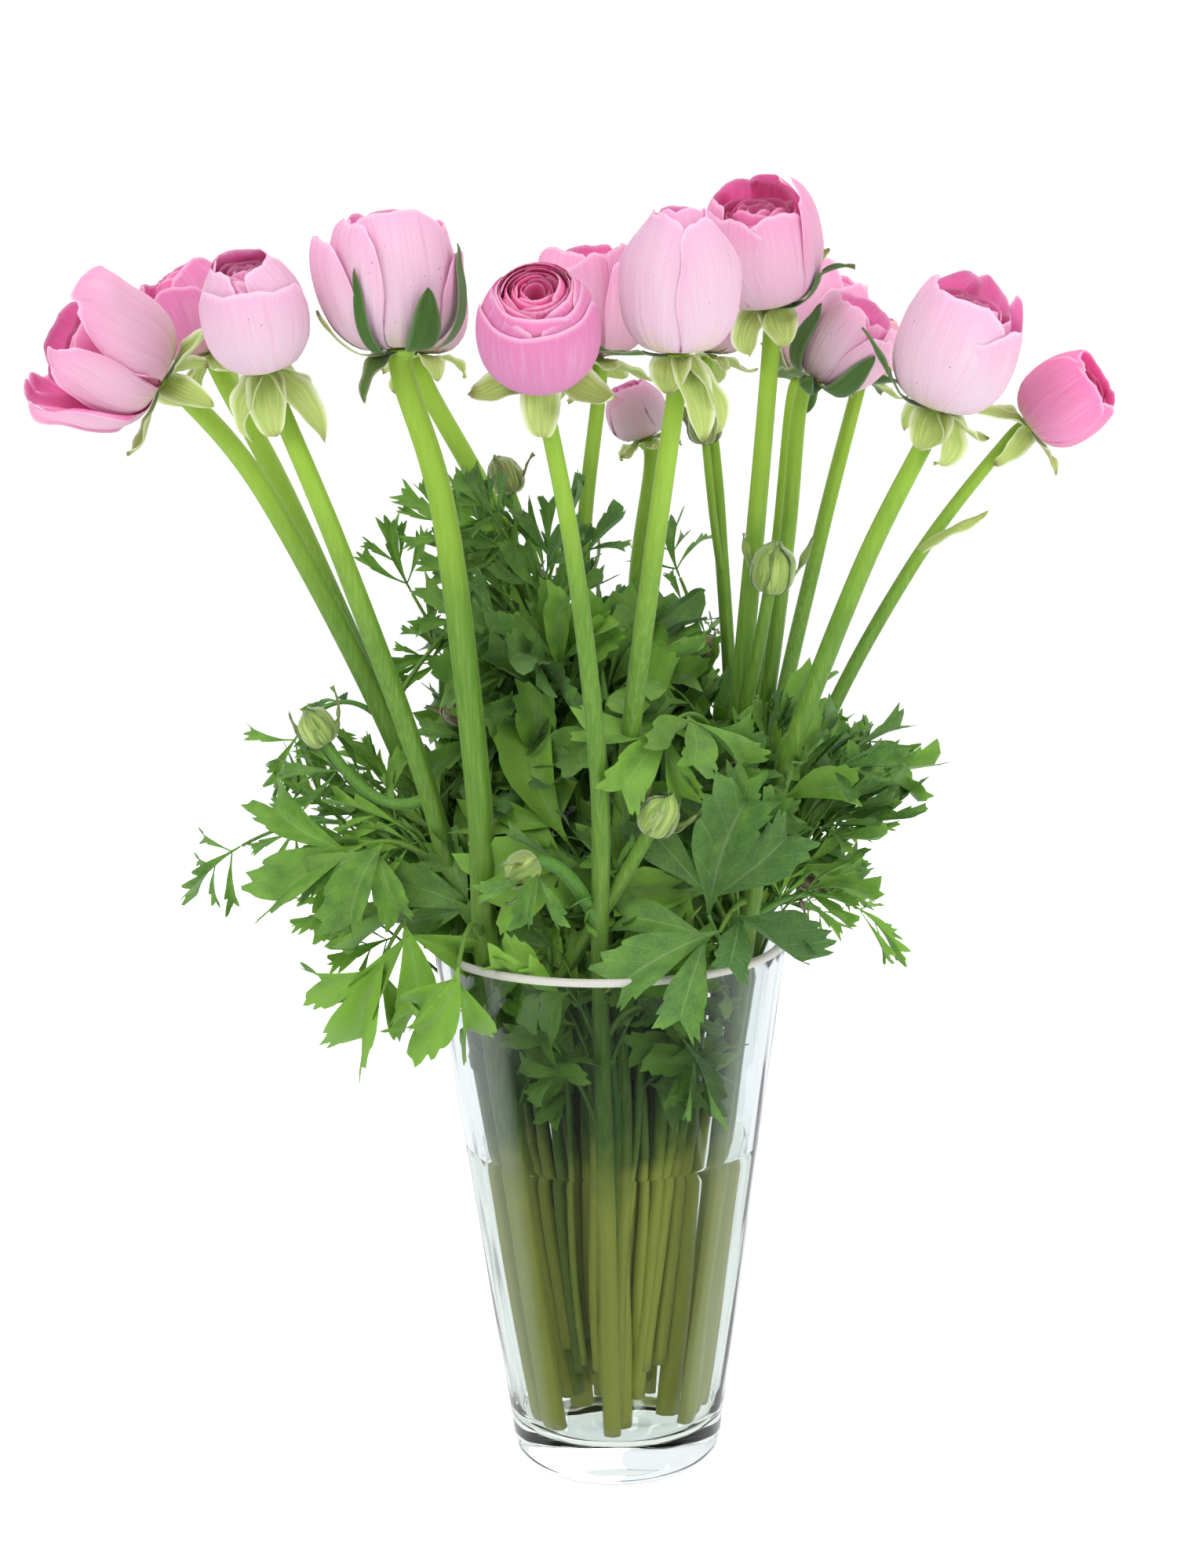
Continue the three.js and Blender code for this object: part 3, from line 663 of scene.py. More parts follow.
@dataclass
class Vase:
    """The tapered glass with its thick foot, and the water that fills it to three fifths."""

    height: float = 230.0
    rim_radius: float = 75.0
    heel_radius: float = 45.0
    heel_height: float = 7.0
    foot_radius: float = 38.0
    wall: float = 4.0
    well_radius: float = 41.5
    well_height: float = 24.0
    floor_radius: float = 35.0
    floor_height: float = 16.5
    water_level: float = 141.0
    soak: float = 0.15  # how far the water laps into the glass, so that no film of air is left
    wave: float = 0.22  # the scale of the wall's slow waver, mm
    sides: int = 160

    def outside(self, height: Array) -> Array:
        """The outer radius at a height above the heel: a straight line from heel to rim."""
        share = (height - self.heel_height) / (self.height - self.heel_height)
        return self.heel_radius + (self.rim_radius - self.heel_radius) * share

    def inside(self, height: Array) -> Array:
        """The inner radius at a height above the well: a straight line from well to lip."""
        share = (height - self.well_height) / (self.height - self.well_height)
        return self.well_radius + (self.rim_radius - self.wall - self.well_radius) * share

    def spun(self, profile: Array, wavy: Array) -> Array:
        """Turns a profile of (radius, height) round +Z with a slow waver of the wall.

        Args:
            profile: The points (n, 2), mm.
            wavy: For each point, how much of the waver it takes.

        Returns:
            The grid (n, sides, 3).
        """
        angle = np.linspace(0.0, 2 * math.pi, self.sides, endpoint=False)
        radius, height = profile[:, :1], profile[:, 1:]
        waver = (np.sin(5 * angle + height / 31.0) + 0.7 * np.sin(9 * angle - height / 17.0 + 1.0)
                 + 0.4 * np.sin(17 * angle + 2.0))
        swell = radius + self.wave * wavy[:, None] * waver
        return np.stack([swell * np.cos(angle), swell * np.sin(angle),
                         np.broadcast_to(height, swell.shape)], axis=-1)

    def glass(self, dress: Wardrobe) -> None:
        """The glass: foot, heel, outer wall, round lip, inner wall and well floor as one turned body."""
        up = np.linspace(self.heel_height + 3.0, self.height - 3.0, 40)
        lip = np.linspace(0.0, math.pi, 9)[1:-1]
        half = self.wall / 2
        crown = np.stack([self.rim_radius - half + half * np.cos(lip),
                          self.height - half + half * np.sin(lip)], axis=1)
        down = np.linspace(self.height - 3.0, self.well_height + 4.0, 40)
        profile = np.vstack([
            [[1.0, 0.8], [self.foot_radius - 6.0, 0.7], [self.foot_radius - 2.0, 0.0],
             [self.foot_radius, 0.0], [self.foot_radius + 3.6, 1.0], [self.foot_radius + 6.0, 3.6],
             [self.heel_radius, self.heel_height]],
            np.stack([self.outside(up), up], axis=1), crown, np.stack([self.inside(down), down], axis=1),
            [[self.well_radius - 0.1, self.well_height], [self.well_radius - 1.6, self.floor_height + 3.4],
             [self.floor_radius + 1.6, self.floor_height + 0.8], [self.floor_radius - 3.0, self.floor_height],
             [1.0, self.floor_height]]])
        near_lip = ease(self.height - 14.0, self.height - 4.0, profile[:, 1])
        wavy = ease(4.0, 40.0, profile[:, 1]) * (1.0 - near_lip)
        grid = self.spun(profile, wavy)
        shell = Shell()
        # The top 2.4 mm of the glass wear the lip with its painted glint.
        lip_bands = ((profile[:-1, 1] + profile[1:, 1]) / 2 > self.height - 2.4).astype(int)
        traits = traits_of(np.broadcast_to(profile[:, 1:] / self.height, grid.shape[:2]), 0.0, 0.0, 0.0)
        shell.ring(grid, traits, lip_bands)
        settled(shell.made("glass_vase", [dress.glass, dress.lip]), "glass", "vase")

    def water(self, dress: Wardrobe) -> None:
        """The water: the well's inside, lapped a hair into the glass, with a curved edge at its top."""
        up = np.linspace(self.well_height + 4.0, self.water_level, 30)
        floor, soak = self.floor_height - self.soak, self.soak
        level, wall = self.water_level, self.inside(self.water_level)
        profile = np.vstack([
            [[1.0, floor], [self.floor_radius - 3.0, floor],
             [self.floor_radius + 1.8, self.floor_height + 0.7],
             [self.well_radius - 1.4, self.floor_height + 3.3],
             [self.well_radius + soak - 0.1, self.well_height]],
            np.stack([self.inside(up) + soak, up], axis=1),
            [[wall - 0.4, level + 0.4], [wall - 2.0, level - 0.3], [wall - 5.0, level - 0.5],
             [1.0, level - 0.5]]])
        wavy = ease(4.0, 40.0, profile[:, 1]) * (profile[:, 0] > 30.0)
        grid = self.spun(profile, wavy)
        shell = Shell()
        traits = traits_of(np.broadcast_to(profile[:, 1:] / self.height, grid.shape[:2]), 0.0, 0.0, 0.0)
        shell.ring(grid, traits)
        settled(shell.made("vase_water", [dress.water]), "water", "water")


# ---------------------------------------------------------------- flowers

class HeadForm(Enum):
    """How far a head has opened."""

    GLOBE = "globe"
    CUP = "cup"
    LOOSE = "loose"
    NEST = "nest"


@dataclass(frozen=True)
class HeadCut:
    """How the petals of a head of one form are laid."""

    petals: int
    thin: float  # how much narrower the innermost ring is than the outermost, as a share
    sink: float  # how much lower its rim is, as a share of the head's height
    spread: float  # how far the outermost petal leans out, radians
    curl: float  # how far its rim rolls outwards, as a share of its ring
    ruffle: float  # how deep its rim waves, mm
    half: float  # half a petal's width, as a share of its ring
    blunt: float  # how square a petal's rim is
    lump: float  # how far the head swells and sinks as it goes round, mm
    ragged: float  # how uneven the rims are
    dip: float  # how much lower the rims stand on the side that faces the viewer
    open: float  # how much wider the mouth of the innermost cup is, as a share
    tip: float  # how far the middle of an inner petal stands above its rim
    tuck: float = 0.03  # how far an outer petal's edge lies over the next; it takes 0.4 of this


HEAD_CUTS = {
    HeadForm.GLOBE: HeadCut(
        petals=17, thin=0.76, sink=0.06, spread=0.03, curl=0.02, ruffle=1.0, half=1.4,
        blunt=2.4, lump=0.8, ragged=1.4, dip=0.16, open=0.3, tip=0.06),
    HeadForm.CUP: HeadCut(
        petals=19, thin=0.80, sink=0.08, spread=0.04, curl=0.03, ruffle=1.2, half=1.45,
        blunt=2.4, lump=1.0, ragged=1.6, dip=0.24, open=0.35, tip=0.07),
    HeadForm.LOOSE: HeadCut(
        petals=16, thin=0.74, sink=0.16, spread=0.16, curl=0.06, ruffle=1.6, half=1.25,
        blunt=2.2, lump=1.2, ragged=1.8, dip=0.10, open=0.4, tip=0.06),
    HeadForm.NEST: HeadCut(
        petals=26, thin=0.82, sink=0.07, spread=0.0, curl=0.0, ruffle=0.30, half=1.4,
        blunt=4.0, lump=0.5, ragged=0.6, dip=0.20, open=0.72, tip=0.0, tuck=0.008),
}


@dataclass(frozen=True)
class OuterPetal:
    """One of the outer petals: degrees for turn and lean, and shares of the head's sizes."""

    turn: float
    reach: float = 1.0
    half: float = 1.2
    lean: float = 0.0
    tip: float = 0.03
    curl: float = 0.01
    blunt: float = 2.3


@dataclass(frozen=True)
class PetalCut:
    """One petal's own sizes: lengths in mm, turns in radians."""

    turn: float
    girth: float
    tall: float
    mouth: float
    half: float
    lean: float = 0.0
    curl: float = 0.0
    ruffle: float = 0.0
    blunt: float = 2.4  # a high number is a squarer rim, below 1.5 a pointed one
    reach: float = 1.0  # how far up the cup it comes, as a share
    tip: float = 0.03  # how far its middle stands above its rim
    tuck: float = 0.03  # how far one edge lies out over the next petal and the other in, as a share
    lump: float = 0.0  # how far the whole head swells and sinks as it goes round, mm
    phase: float = 0.0  # where in its swellings the head starts, radians
    ragged: float = 1.0  # how uneven its rim is
    thick: float = 0.3
    rows: int = 17
    columns: int = 19


def belly(girth: float, tall: float, mouth: float) -> Array:
    """The outline of a cup from its foot to beyond its mouth: nine points, evenly spaced in share."""
    return np.array([[0.10, 0.0], [0.62, 0.04], [0.92, 0.21], [1.0, 0.44], [0.95, 0.66],
                     [max(mouth, 0.66) * 0.5 + 0.42, 0.83], [mouth * 0.82, 0.95], [mouth * 0.62, 1.02],
                     [mouth * 0.46, 1.06]]) * [girth, tall]


def leaned(out: Array, height: Array, lean: float, girth: float) -> tuple[Array, Array]:
    """A place on the cup once its petal leans out about its foot, a fifth of the girth from the axis.

    Args:
        out: How far from the axis, mm.
        height: How high, mm.
        lean: How far the petal leans out, radians.
        girth: The widest radius of the cup, mm.

    Returns:
        How far from the axis it then is, and how high; it sinks 0.6 of what a stiff turn gives.
    """
    foot = 0.2 * girth
    return ((out - foot) * math.cos(lean) + height * math.sin(lean) + foot,
            height * math.cos(lean) - (out - foot) * math.sin(lean) * 0.6)


def petal_sheet(shell: Shell, cut: PetalCut, frame_of: Array, base: Array, tone: float, seed: float,
                dress: int = 0) -> None:
    """A petal as a closed sheet on a cup turned round the head's axis.

    The cup's radius and height follow a line from its foot over its belly and shoulder to its
    mouth. The petal spans half / radius to either side of its turn. Its rim is at its reach
    times 0.24 + 0.76 (1 - |s|^b)^(1/b) for s across and b its bluntness, with shallow scallops
    and a soft tip. The head swells and sinks by sines of two, three and five turns round it, the
    same for all its petals. A petal ruffles towards its rim, one edge lies in under the next petal and the
    other out over it, and the whole leans out about its foot.

    Args:
        shell: Where it is added.
        cut: Its sizes.
        frame_of: The rotation of the head.
        base: The foot of the head, mm.
        tone: Its tone trait.
        seed: Where in its waves it starts, radians.
        dress: Which of the piece's materials it wears.
    """
    across = np.sin(np.linspace(-math.pi / 2, math.pi / 2, cut.columns))[None, :]
    along = np.linspace(0.0, 1.0, cut.rows)[:, None]
    rim = 0.24 + 0.76 * (1.0 - np.abs(across) ** cut.blunt) ** (1.0 / cut.blunt)
    rim = rim + cut.ragged * (0.020 * np.sin(4.1 * across + seed) + 0.013 * np.sin(9.7 * across + 2.3 * seed)
                              + 0.006 * np.sin(23.0 * across + 3.1 * seed))
    rim = rim + cut.tip * np.exp(-((across - 0.15 * math.sin(seed)) / 0.22) ** 2)
    rise = along * rim * cut.reach
    cup = smooth_line(belly(cut.girth, cut.tall, cut.mouth), rise / 1.15)
    radius, height = cup[..., 0], cup[..., 1]
    radius = radius + cut.tuck * cut.girth * across * rise
    radius = radius + 0.012 * cut.girth * np.sin(2.6 * across + 3.0 * rise + seed) * rise
    radius = radius + cut.ruffle * np.sin(5.0 * across + seed) * (along * rise) ** 2
    radius = radius + 0.3 * cut.ruffle * np.sin(13.0 * across + 2.0 * seed) * (along * rise) ** 4
    radius = radius + cut.curl * cut.girth * ease(0.80, 1.0, along) ** 2
    around = cut.turn + across * cut.half / cut.girth
    swell = (np.sin(2 * around + cut.phase) + 0.7 * np.sin(3 * around + 2 * cut.phase)
             + 0.5 * np.sin(5 * around + 3 * cut.phase))
    radius = radius + cut.lump * swell * rise**2
    width = cut.half * (0.26 + 0.74 * ease(0.0, 0.5, rise))
    angle = across * width / np.maximum(radius, 0.42 * cut.girth)
    flat = radius * np.cos(angle)
    out, tall = leaned(flat, height, cut.lean, cut.girth)
    side = radius * np.sin(angle)
    c, s = math.cos(cut.turn), math.sin(cut.turn)
    local = np.stack([out * c - side * s, out * s + side * c, tall], axis=-1)
    place = local @ frame_of.T + base
    traits = traits_of(np.broadcast_to(along, place.shape[:2]), across, 0.0, tone)
    shell.leaf_sheet(place, cut.thick, traits, dress)


@dataclass(frozen=True)
class Sepal:
    """A sepal or bract under a head: where it points and how it hangs."""

    turn: float  # degrees round the head's axis
    length: float
    half: float
    hang: float  # degrees from the head's axis at its root
    curl: float  # how much further it has turned down at its tip, radians
    flick: float = 0.0  # how its last third curls on, radians
    tone: float = 0.2
    lift: float = 0.0  # where its root sits along the axis, mm
    hug: float = 0.0  # how far up the head it lies pressed to it, as a share; 0 hangs free


def sepal_sheet(shell: Shell, sepal: Sepal, frame_of: Array, base: Array, root: float, dress: int = 0,
                cup: Array | None = None, lean: float = 0.0) -> None:
    """A pointed cupped blade that leaves the neck and bends over.

    With u the share of the way along, its centre line turns from its hang by its curl times u
    and its flick times u^4. Its half width is half * (0.22 (1 - u) + 2.1 u^0.5 (1 - u)^0.7 + 0.02),
    and its margins rise by 0.36 of that width times across squared, with a slow wave. Under the
    head it is held at least 1 mm below the cup's outline. A hugging one follows that outline
    3.4 mm off it instead.

    Args:
        shell: Where it is added.
        sepal: Its sizes.
        frame_of: The rotation of the head.
        base: The foot of the head, mm.
        root: How far from the axis it starts, mm.
        dress: Which of the piece's materials it wears.
        cup: The head's outline, which a sepal hugs or lies under.
        lean: How far the petals over it lean out, radians.
    """
    u = np.linspace(0.0, 1.0, 22)
    bend = math.radians(sepal.hang - 90.0) + sepal.curl * u + sepal.flick * u**4
    step = sepal.length / (len(u) - 1)
    out = root + np.concatenate([[0.0], np.cumsum(np.cos(bend[1:]) * step)])
    drop = sepal.lift - np.concatenate([[0.0], np.cumsum(np.sin(bend[1:]) * step)])
    across = np.linspace(-1.0, 1.0, 9)[None, :]
    width = sepal.half * (0.22 * (1 - u) + 2.1 * u**0.5 * (1.0 - u) ** 0.7 + 0.02)
    if cup is not None and sepal.hug:
        line = smooth_line(cup, 0.06 + sepal.hug * u)
        radius = line[:, :1] + 3.4 + 0.5 * across**2 + 2.0 * ease(0.75, 1.0, u)[:, None]
        angle = width[:, None] * across / np.maximum(radius, 6.0)
        x, y, z = radius * np.cos(angle), radius * np.sin(angle), line[:, 1:] - 0.8 + 0.0 * across
    else:
        wave = 0.8 * np.sin(8.0 * u + sepal.turn) + 0.5 * np.sin(17.0 * u + 2.0 * sepal.turn)
        fold = (0.36 * width)[:, None] * across**2 + wave[:, None] * across
        x = out[:, None] + fold * np.sin(bend)[:, None]
        z = drop[:, None] + fold * np.cos(bend)[:, None]
        y = width[:, None] * across + 0.0 * x
        if cup is not None:
            low = smooth_line(cup, np.linspace(0.0, 0.375, 30))
            reach, under = leaned(low[:, 0], low[:, 1], lean, float(cup[3, 0]))
            here = np.hypot(x, y)
            z = np.where(here < reach[-1], np.minimum(z, np.interp(here, reach, under) - 1.0), z)
    turn = math.radians(sepal.turn)
    local = np.stack([x * math.cos(turn) - y * math.sin(turn),
                      x * math.sin(turn) + y * math.cos(turn), z], axis=-1)
    traits = traits_of(np.broadcast_to(u[:, None], y.shape), across, 0.0, sepal.tone)
    shell.leaf_sheet((local @ frame_of.T + base)[:, ::-1], 0.45, traits[:, ::-1], dress)


@dataclass(frozen=True)
class Flower:
    """A flower: where its stem runs, how its head sits, and how far it has opened."""

    number: int
    rim: tuple[float, float]  # where its stem crosses the height of the rim, mm
    via: tuple[tuple[float, float, float], tuple[float, float, float]]  # two points from rim to head, mm
    base: tuple[float, float, float]  # the foot of its head, mm
    lean: float  # how far its head leans from upright, degrees
    toward: float  # which way it leans, degrees from +X
    stem: float  # the stem's radius, mm
    head: float  # the widest radius of its head, mm
    tall: float  # how tall its head is, mm
    mouth: float  # how wide its mouth is, as a share of its belly
    hang: float  # how its sepals leave if calyx is empty, degrees from the head's axis
    form: HeadForm = HeadForm.GLOBE
    tone: PetalTone = PetalTone.SHELL
    spin: float = 0.0  # degrees that the first petal stands round the axis
    outer: tuple[OuterPetal, ...] = ()
    calyx: tuple[Sepal, ...] = ()
    shade: float = 0.15  # tone of its sepals
    bracts: tuple[tuple[float, Sepal], ...] = ()  # hooked bracts on its stem, each with its height, mm
    fill: float = 0.93  # how high the inner petals stand against the outer ones, as a share
    neck: float = 12.0  # how much of the stem under the head is straight, mm
    narrowing: float = 0.5  # where its foot stands, as a share of its place at the rim
    rim_height: float = 230.0
    floor: float = 16.5  # the height of the floor of the well, mm
    gap: float = 0.35  # from that floor to its cut foot, mm

    @property
    def axis(self) -> Array:
        """The direction in which the head points."""
        lean, toward = math.radians(self.lean), math.radians(self.toward)
        return np.array([math.sin(lean) * math.cos(toward), math.sin(lean) * math.sin(toward),
                         math.cos(lean)])

    @property
    def knots(self) -> Array:
        """The points that the stem passes through, from its cut foot to the head.

        Inside the vase it runs straight outwards as it rises, at half the rim's radius low
        down and the whole at the rim.
        """
        rim = np.array(self.rim)
        slope = float(np.hypot(*rim)) * self.narrowing / (self.rim_height - self.floor)
        low = self.floor + self.gap + self.stem * slope
        rows = []
        for height in (low, (low + self.rim_height) / 2, self.rim_height):
            share = (height - low) / (self.rim_height - low) * (1 - self.narrowing) + self.narrowing
            rows.append([*(rim * share), height])
        base = np.array(self.base)
        return np.array([*rows, *self.via, base - self.neck * self.axis, base])

    def point_above(self, height: float) -> Array:
        """The first point of the stem that is at least so high."""
        line = smooth_line(self.knots, np.linspace(0.0, 1.0, 501))
        return line[np.argmax(line[:, 2] >= height)]

    def make_stem(self, dress: Wardrobe) -> None:
        """The stem swept along its line, swollen under the head, with its sepals and bracts."""
        shell = Shell()
        share = np.linspace(0.0, 1.0, 84)
        path = smooth_line(self.knots, share)
        rng = np.random.default_rng(100 + self.number)
        radius = self.stem * (1.0 + 0.05 * np.sin(share * 17.0 + self.number) * (1 - share))
        radius = radius * (1.0 + 0.28 * ease(0.965, 1.0, share)) * (1.0 - 0.10 * ease(0.5, 0.9, share))
        tube(shell, path, radius, 28, float(rng.uniform(0.0, 0.5)), 0, ribs=7, rib=0.035)
        turn = turn_to(self.axis)
        size = self.head / 23.0
        for sepal in self.calyx or self._five_sepals(rng, size):
            sepal_sheet(shell, sepal, turn, np.array(self.base), self.stem * 0.5, 1,
                        belly(self.head, self.tall, self.mouth), self._lean_over(sepal))
        for height, bract in self.bracts:
            sepal_sheet(shell, bract, turn, self.point_above(height), self.stem * 0.7, 1)
        settled(shell.made(f"flower_stem_{self.number:02d}", [dress.stem, dress.sepal]), "stem",
                f"stem_{self.number:02d}")

    def _lean_over(self, sepal: Sepal) -> float:
        """How far the outer petals that reach over a sepal lean out at most, radians."""
        over = [petal.lean for petal in self.outer
                if abs((petal.turn - sepal.turn + 180.0) % 360.0 - 180.0) < math.degrees(petal.half)]
        return math.radians(max(over, default=2.0))

    def _five_sepals(self, rng: np.random.Generator, size: float) -> list[Sepal]:
        """Five sepals a fifth of a turn apart, each with its own length, droop and curl."""
        return [Sepal(72.0 * k + float(rng.uniform(-12, 12)), 28.0 * size * float(rng.uniform(0.82, 1.15)),
                      5.8 * size * float(rng.uniform(0.85, 1.15)), self.hang + float(rng.uniform(-12, 12)),
                      float(rng.uniform(0.2, 1.1)), float(rng.uniform(-2.0, 1.6)),
                      self.shade + float(rng.uniform(-0.12, 0.25)), -0.12 * k) for k in range(5)]

    def make_head(self, dress: Wardrobe) -> None:
        """The head: outer petals, then petals in a spiral of the golden turn to a small heart."""
        shell = Shell()
        cut = HEAD_CUTS[self.form]
        rng = np.random.default_rng(700 + self.number)
        turn, base = turn_to(self.axis), np.array(self.base)
        for k, petal in enumerate(self.outer):
            girth = self.head * (1.0 - 0.020 * k)
            petal_sheet(shell, PetalCut(
                math.radians(petal.turn), girth, self.tall, self.mouth, girth * petal.half,
                math.radians(petal.lean), petal.curl, cut.ruffle, petal.blunt, petal.reach, petal.tip,
                cut.tuck * 0.4, cut.lump, float(self.number), cut.ragged, rows=23, columns=33,
            ), turn, base + self.axis * 0.6, 0.08 * k, float(rng.uniform(0.0, 6.28)))
        for k in range(5 if self.outer else 0, cut.petals):
            q = k / (cut.petals - 1)
            slack = (1.0 - q) ** 3
            narrowed = 1.0 - 0.014 * k if k < 5 else 0.92 - (cut.thin - 0.08) * (k - 4) / (cut.petals - 5)
            girth = self.head * narrowed
            angle = math.radians(self.spin) + GOLDEN * k
            low = cut.dip * 0.5 * (1.0 - math.sin(angle)) * (1.0 - q)
            petal_sheet(shell, PetalCut(
                turn=angle, girth=girth,
                tall=self.tall * self.fill * (1.0 - cut.sink * q**1.2),
                mouth=float(np.clip(self.mouth * (1.0 + cut.open * q) * rng.uniform(0.96, 1.04), 0.1, 1.25)),
                half=girth * cut.half * float(rng.uniform(0.92, 1.1)),
                lean=cut.spread * slack * float(rng.uniform(0.6, 1.3)),
                curl=cut.curl * slack,
                ruffle=cut.ruffle * (0.35 + 0.65 * slack),
                blunt=cut.blunt,
                reach=float(rng.uniform(0.90, 1.0)) - low,
                tip=cut.tip * float(rng.uniform(0.3, 1.4)),
                lump=cut.lump * girth / self.head, phase=float(self.number),
                ragged=cut.ragged * (0.3 + 0.7 * slack),
            ), turn, base + self.axis * 0.6, 0.15 + 0.85 * q, float(rng.uniform(0.0, 6.28)))
        self._heart(shell, cut, turn, base)
        piece = shell.made(f"flower_head_{self.number:02d}", [dress.petals[self.tone], dress.heart])
        settled(piece, "petals", f"petals_{self.number:02d}")

    def _heart(self, shell: Shell, cut: HeadCut, turn: Array, base: Array) -> None:
        """The knot of seed cases: a dome of radius 0.16 of the head's, pimpled by crossed waves."""
        u = np.linspace(0.06, 0.98, 12)[:, None] * math.pi
        a = np.linspace(0.0, 2 * math.pi, 20, endpoint=False)[None]
        size = self.head * 0.16
        swell = size * (1.0 + 0.06 * np.sin(7 * a) * np.sin(6 * u))
        height = self.tall * self.fill * (1.0 - cut.sink) * 0.74
        local = np.stack([swell * np.sin(u) * np.cos(a), swell * np.sin(u) * np.sin(a),
                          height - 1.5 * swell * np.cos(u) - size], axis=-1)
        along = np.broadcast_to(u / math.pi, local.shape[:2])
        shell.ring(local @ turn.T + base, traits_of(along, 0.0, 0.0, 0.5), 1)


# ---------------------------------------------------------------- shoots

class LeafForm(Enum):
    """The leaf shapes in the bunch: their blades' layout, width and teeth."""

    LOBED = "lobed"
    WEDGE = "wedge"
    FEATHER = "feather"


@dataclass(frozen=True)
class LeafCut:
    """How a leaf of one form is cut: each blade as (start share, turn in degrees, length share)."""

    blades: tuple[tuple[float, float, float], ...]
    width: float  # length of the longest side vein as a share of the blade
    sweep: float  # angle between side veins and midrib, degrees
    teeth: float  # notches on a margin from foot to tip; they start 0.38 of the way along
    depth: float  # how deep a notch cuts, as a share of the side vein
    foot: float  # share of the blade that is a bare narrow foot
    shoulder: float  # how wide it is a quarter of its length beyond the foot, as a share


LEAF_CUTS = {
    LeafForm.LOBED: LeafCut(
        blades=((0.0, 0.0, 1.0), (0.16, 42.0, 0.80), (0.16, -42.0, 0.80)),
        width=0.56, sweep=32.0, teeth=5.6, depth=0.30, foot=0.07, shoulder=0.72),
    LeafForm.WEDGE: LeafCut(
        blades=((0.0, 0.0, 1.0), (0.24, 38.0, 0.74), (0.24, -38.0, 0.74)),
        width=0.50, sweep=27.0, teeth=4.4, depth=0.42, foot=0.14, shoulder=0.50),
    LeafForm.FEATHER: LeafCut(
        blades=((0.0, 0.0, 1.0), (0.18, 48.0, 0.70), (0.18, -48.0, 0.70), (0.46, 36.0, 0.5),
                (0.46, -36.0, 0.5)),
        width=0.42, sweep=25.0, teeth=3.4, depth=0.58, foot=0.20, shoulder=0.42),
}


def blade_sheet(shell: Shell, root: Array, ahead: Array, normal: Array, length: float, cut: LeafCut,
                droop: float, tone: float, seed: float, dress: int = 0,
                fine: bool = True) -> tuple[Array, Array, Array]:
    """A toothed blade: a midrib that droops, with side veins swept forward from every point of it.

    A point is the midrib at s plus |t| * reach(s) along (cos f * ahead + sin f * side), f being
    the sweep. reach is the blade's envelope times its teeth, and |t| = 1 is the margin. Each
    half rises from the midrib by a fold, its margin ripples as the square of |t|, and the
    blade sways to one side and twists as it goes.

    Args:
        shell: Where it is added.
        root: Where the blade starts, mm.
        ahead: The way it sets out.
        normal: The way its upper side faces.
        length: Its length, mm.
        cut: The cut of the leaf it belongs to.
        droop: How far its tip has bent down, radians.
        tone: Its tone trait.
        seed: Where in its waves it starts, radians.
        dress: Which of the piece's materials it wears.
        fine: Whether it has the full grid, or the small one for blades that are there in hundreds.

    Returns:
        The midrib's points, its directions and its upward normals.
    """
    s = np.linspace(0.0, 1.0, 22 if fine else 14)
    across = np.cross(ahead, normal)
    bend, sway = droop * s**1.2, 0.5 * math.sin(seed) * s**1.3
    way = (np.cos(bend) * np.cos(sway))[:, None] * ahead + np.sin(sway)[:, None] * across \
        - (np.sin(bend) * np.cos(sway))[:, None] * normal
    way = unit(way)
    up = unit(np.sin(bend)[:, None] * ahead + np.cos(bend)[:, None] * normal)
    side = np.cross(way, up)
    twist = (0.7 * math.sin(2.3 * seed + 1.0) * s)[:, None]
    side, up = side * np.cos(twist) + up * np.sin(twist), up * np.cos(twist) - side * np.sin(twist)
    step = length / (len(s) - 1)
    mid = root + np.vstack([np.zeros(3), np.cumsum(way[1:] * step, axis=0)])
    envelope = np.interp(s, [0.0, cut.foot, cut.foot + 0.25, 0.70, 0.86, 1.0],
                         [0.06, 0.09, cut.shoulder, 1.0, 0.84, 0.05])
    t = np.linspace(-1.0, 1.0, 7 if fine else 5)[None]
    phase = cut.teeth * (s[:, None] - cut.foot) / (1.0 - cut.foot) + np.where(t < 0, 0.28, 0.0) + 0.05 * seed
    tooth = 1.0 - cut.depth * np.abs(2.0 * (phase % 1.0) - 1.0) ** 1.3 * ease(0.38, 0.62, s)[:, None]
    reach = length * cut.width * envelope[:, None] * tooth
    out, sweep = np.abs(t), math.radians(cut.sweep)
    fold = 0.30 + 0.22 * math.sin(seed * 1.7)
    ripple = 0.06 * length * np.sin(7.0 * s[:, None] + seed + 1.5 * t) * out**2 * envelope[:, None]
    lift = out * reach * fold + ripple
    grid = (mid[:, None] + (out * reach)[..., None] * (
        math.cos(sweep) * way[:, None] + math.sin(sweep) * np.sign(t)[..., None] * side[:, None])
        + lift[..., None] * up[:, None])
    along = np.broadcast_to(s[:, None], grid.shape[:2])
    shell.leaf_sheet(grid, 0.28, traits_of(along, t, 0.0, tone), dress)
    return mid, way, up


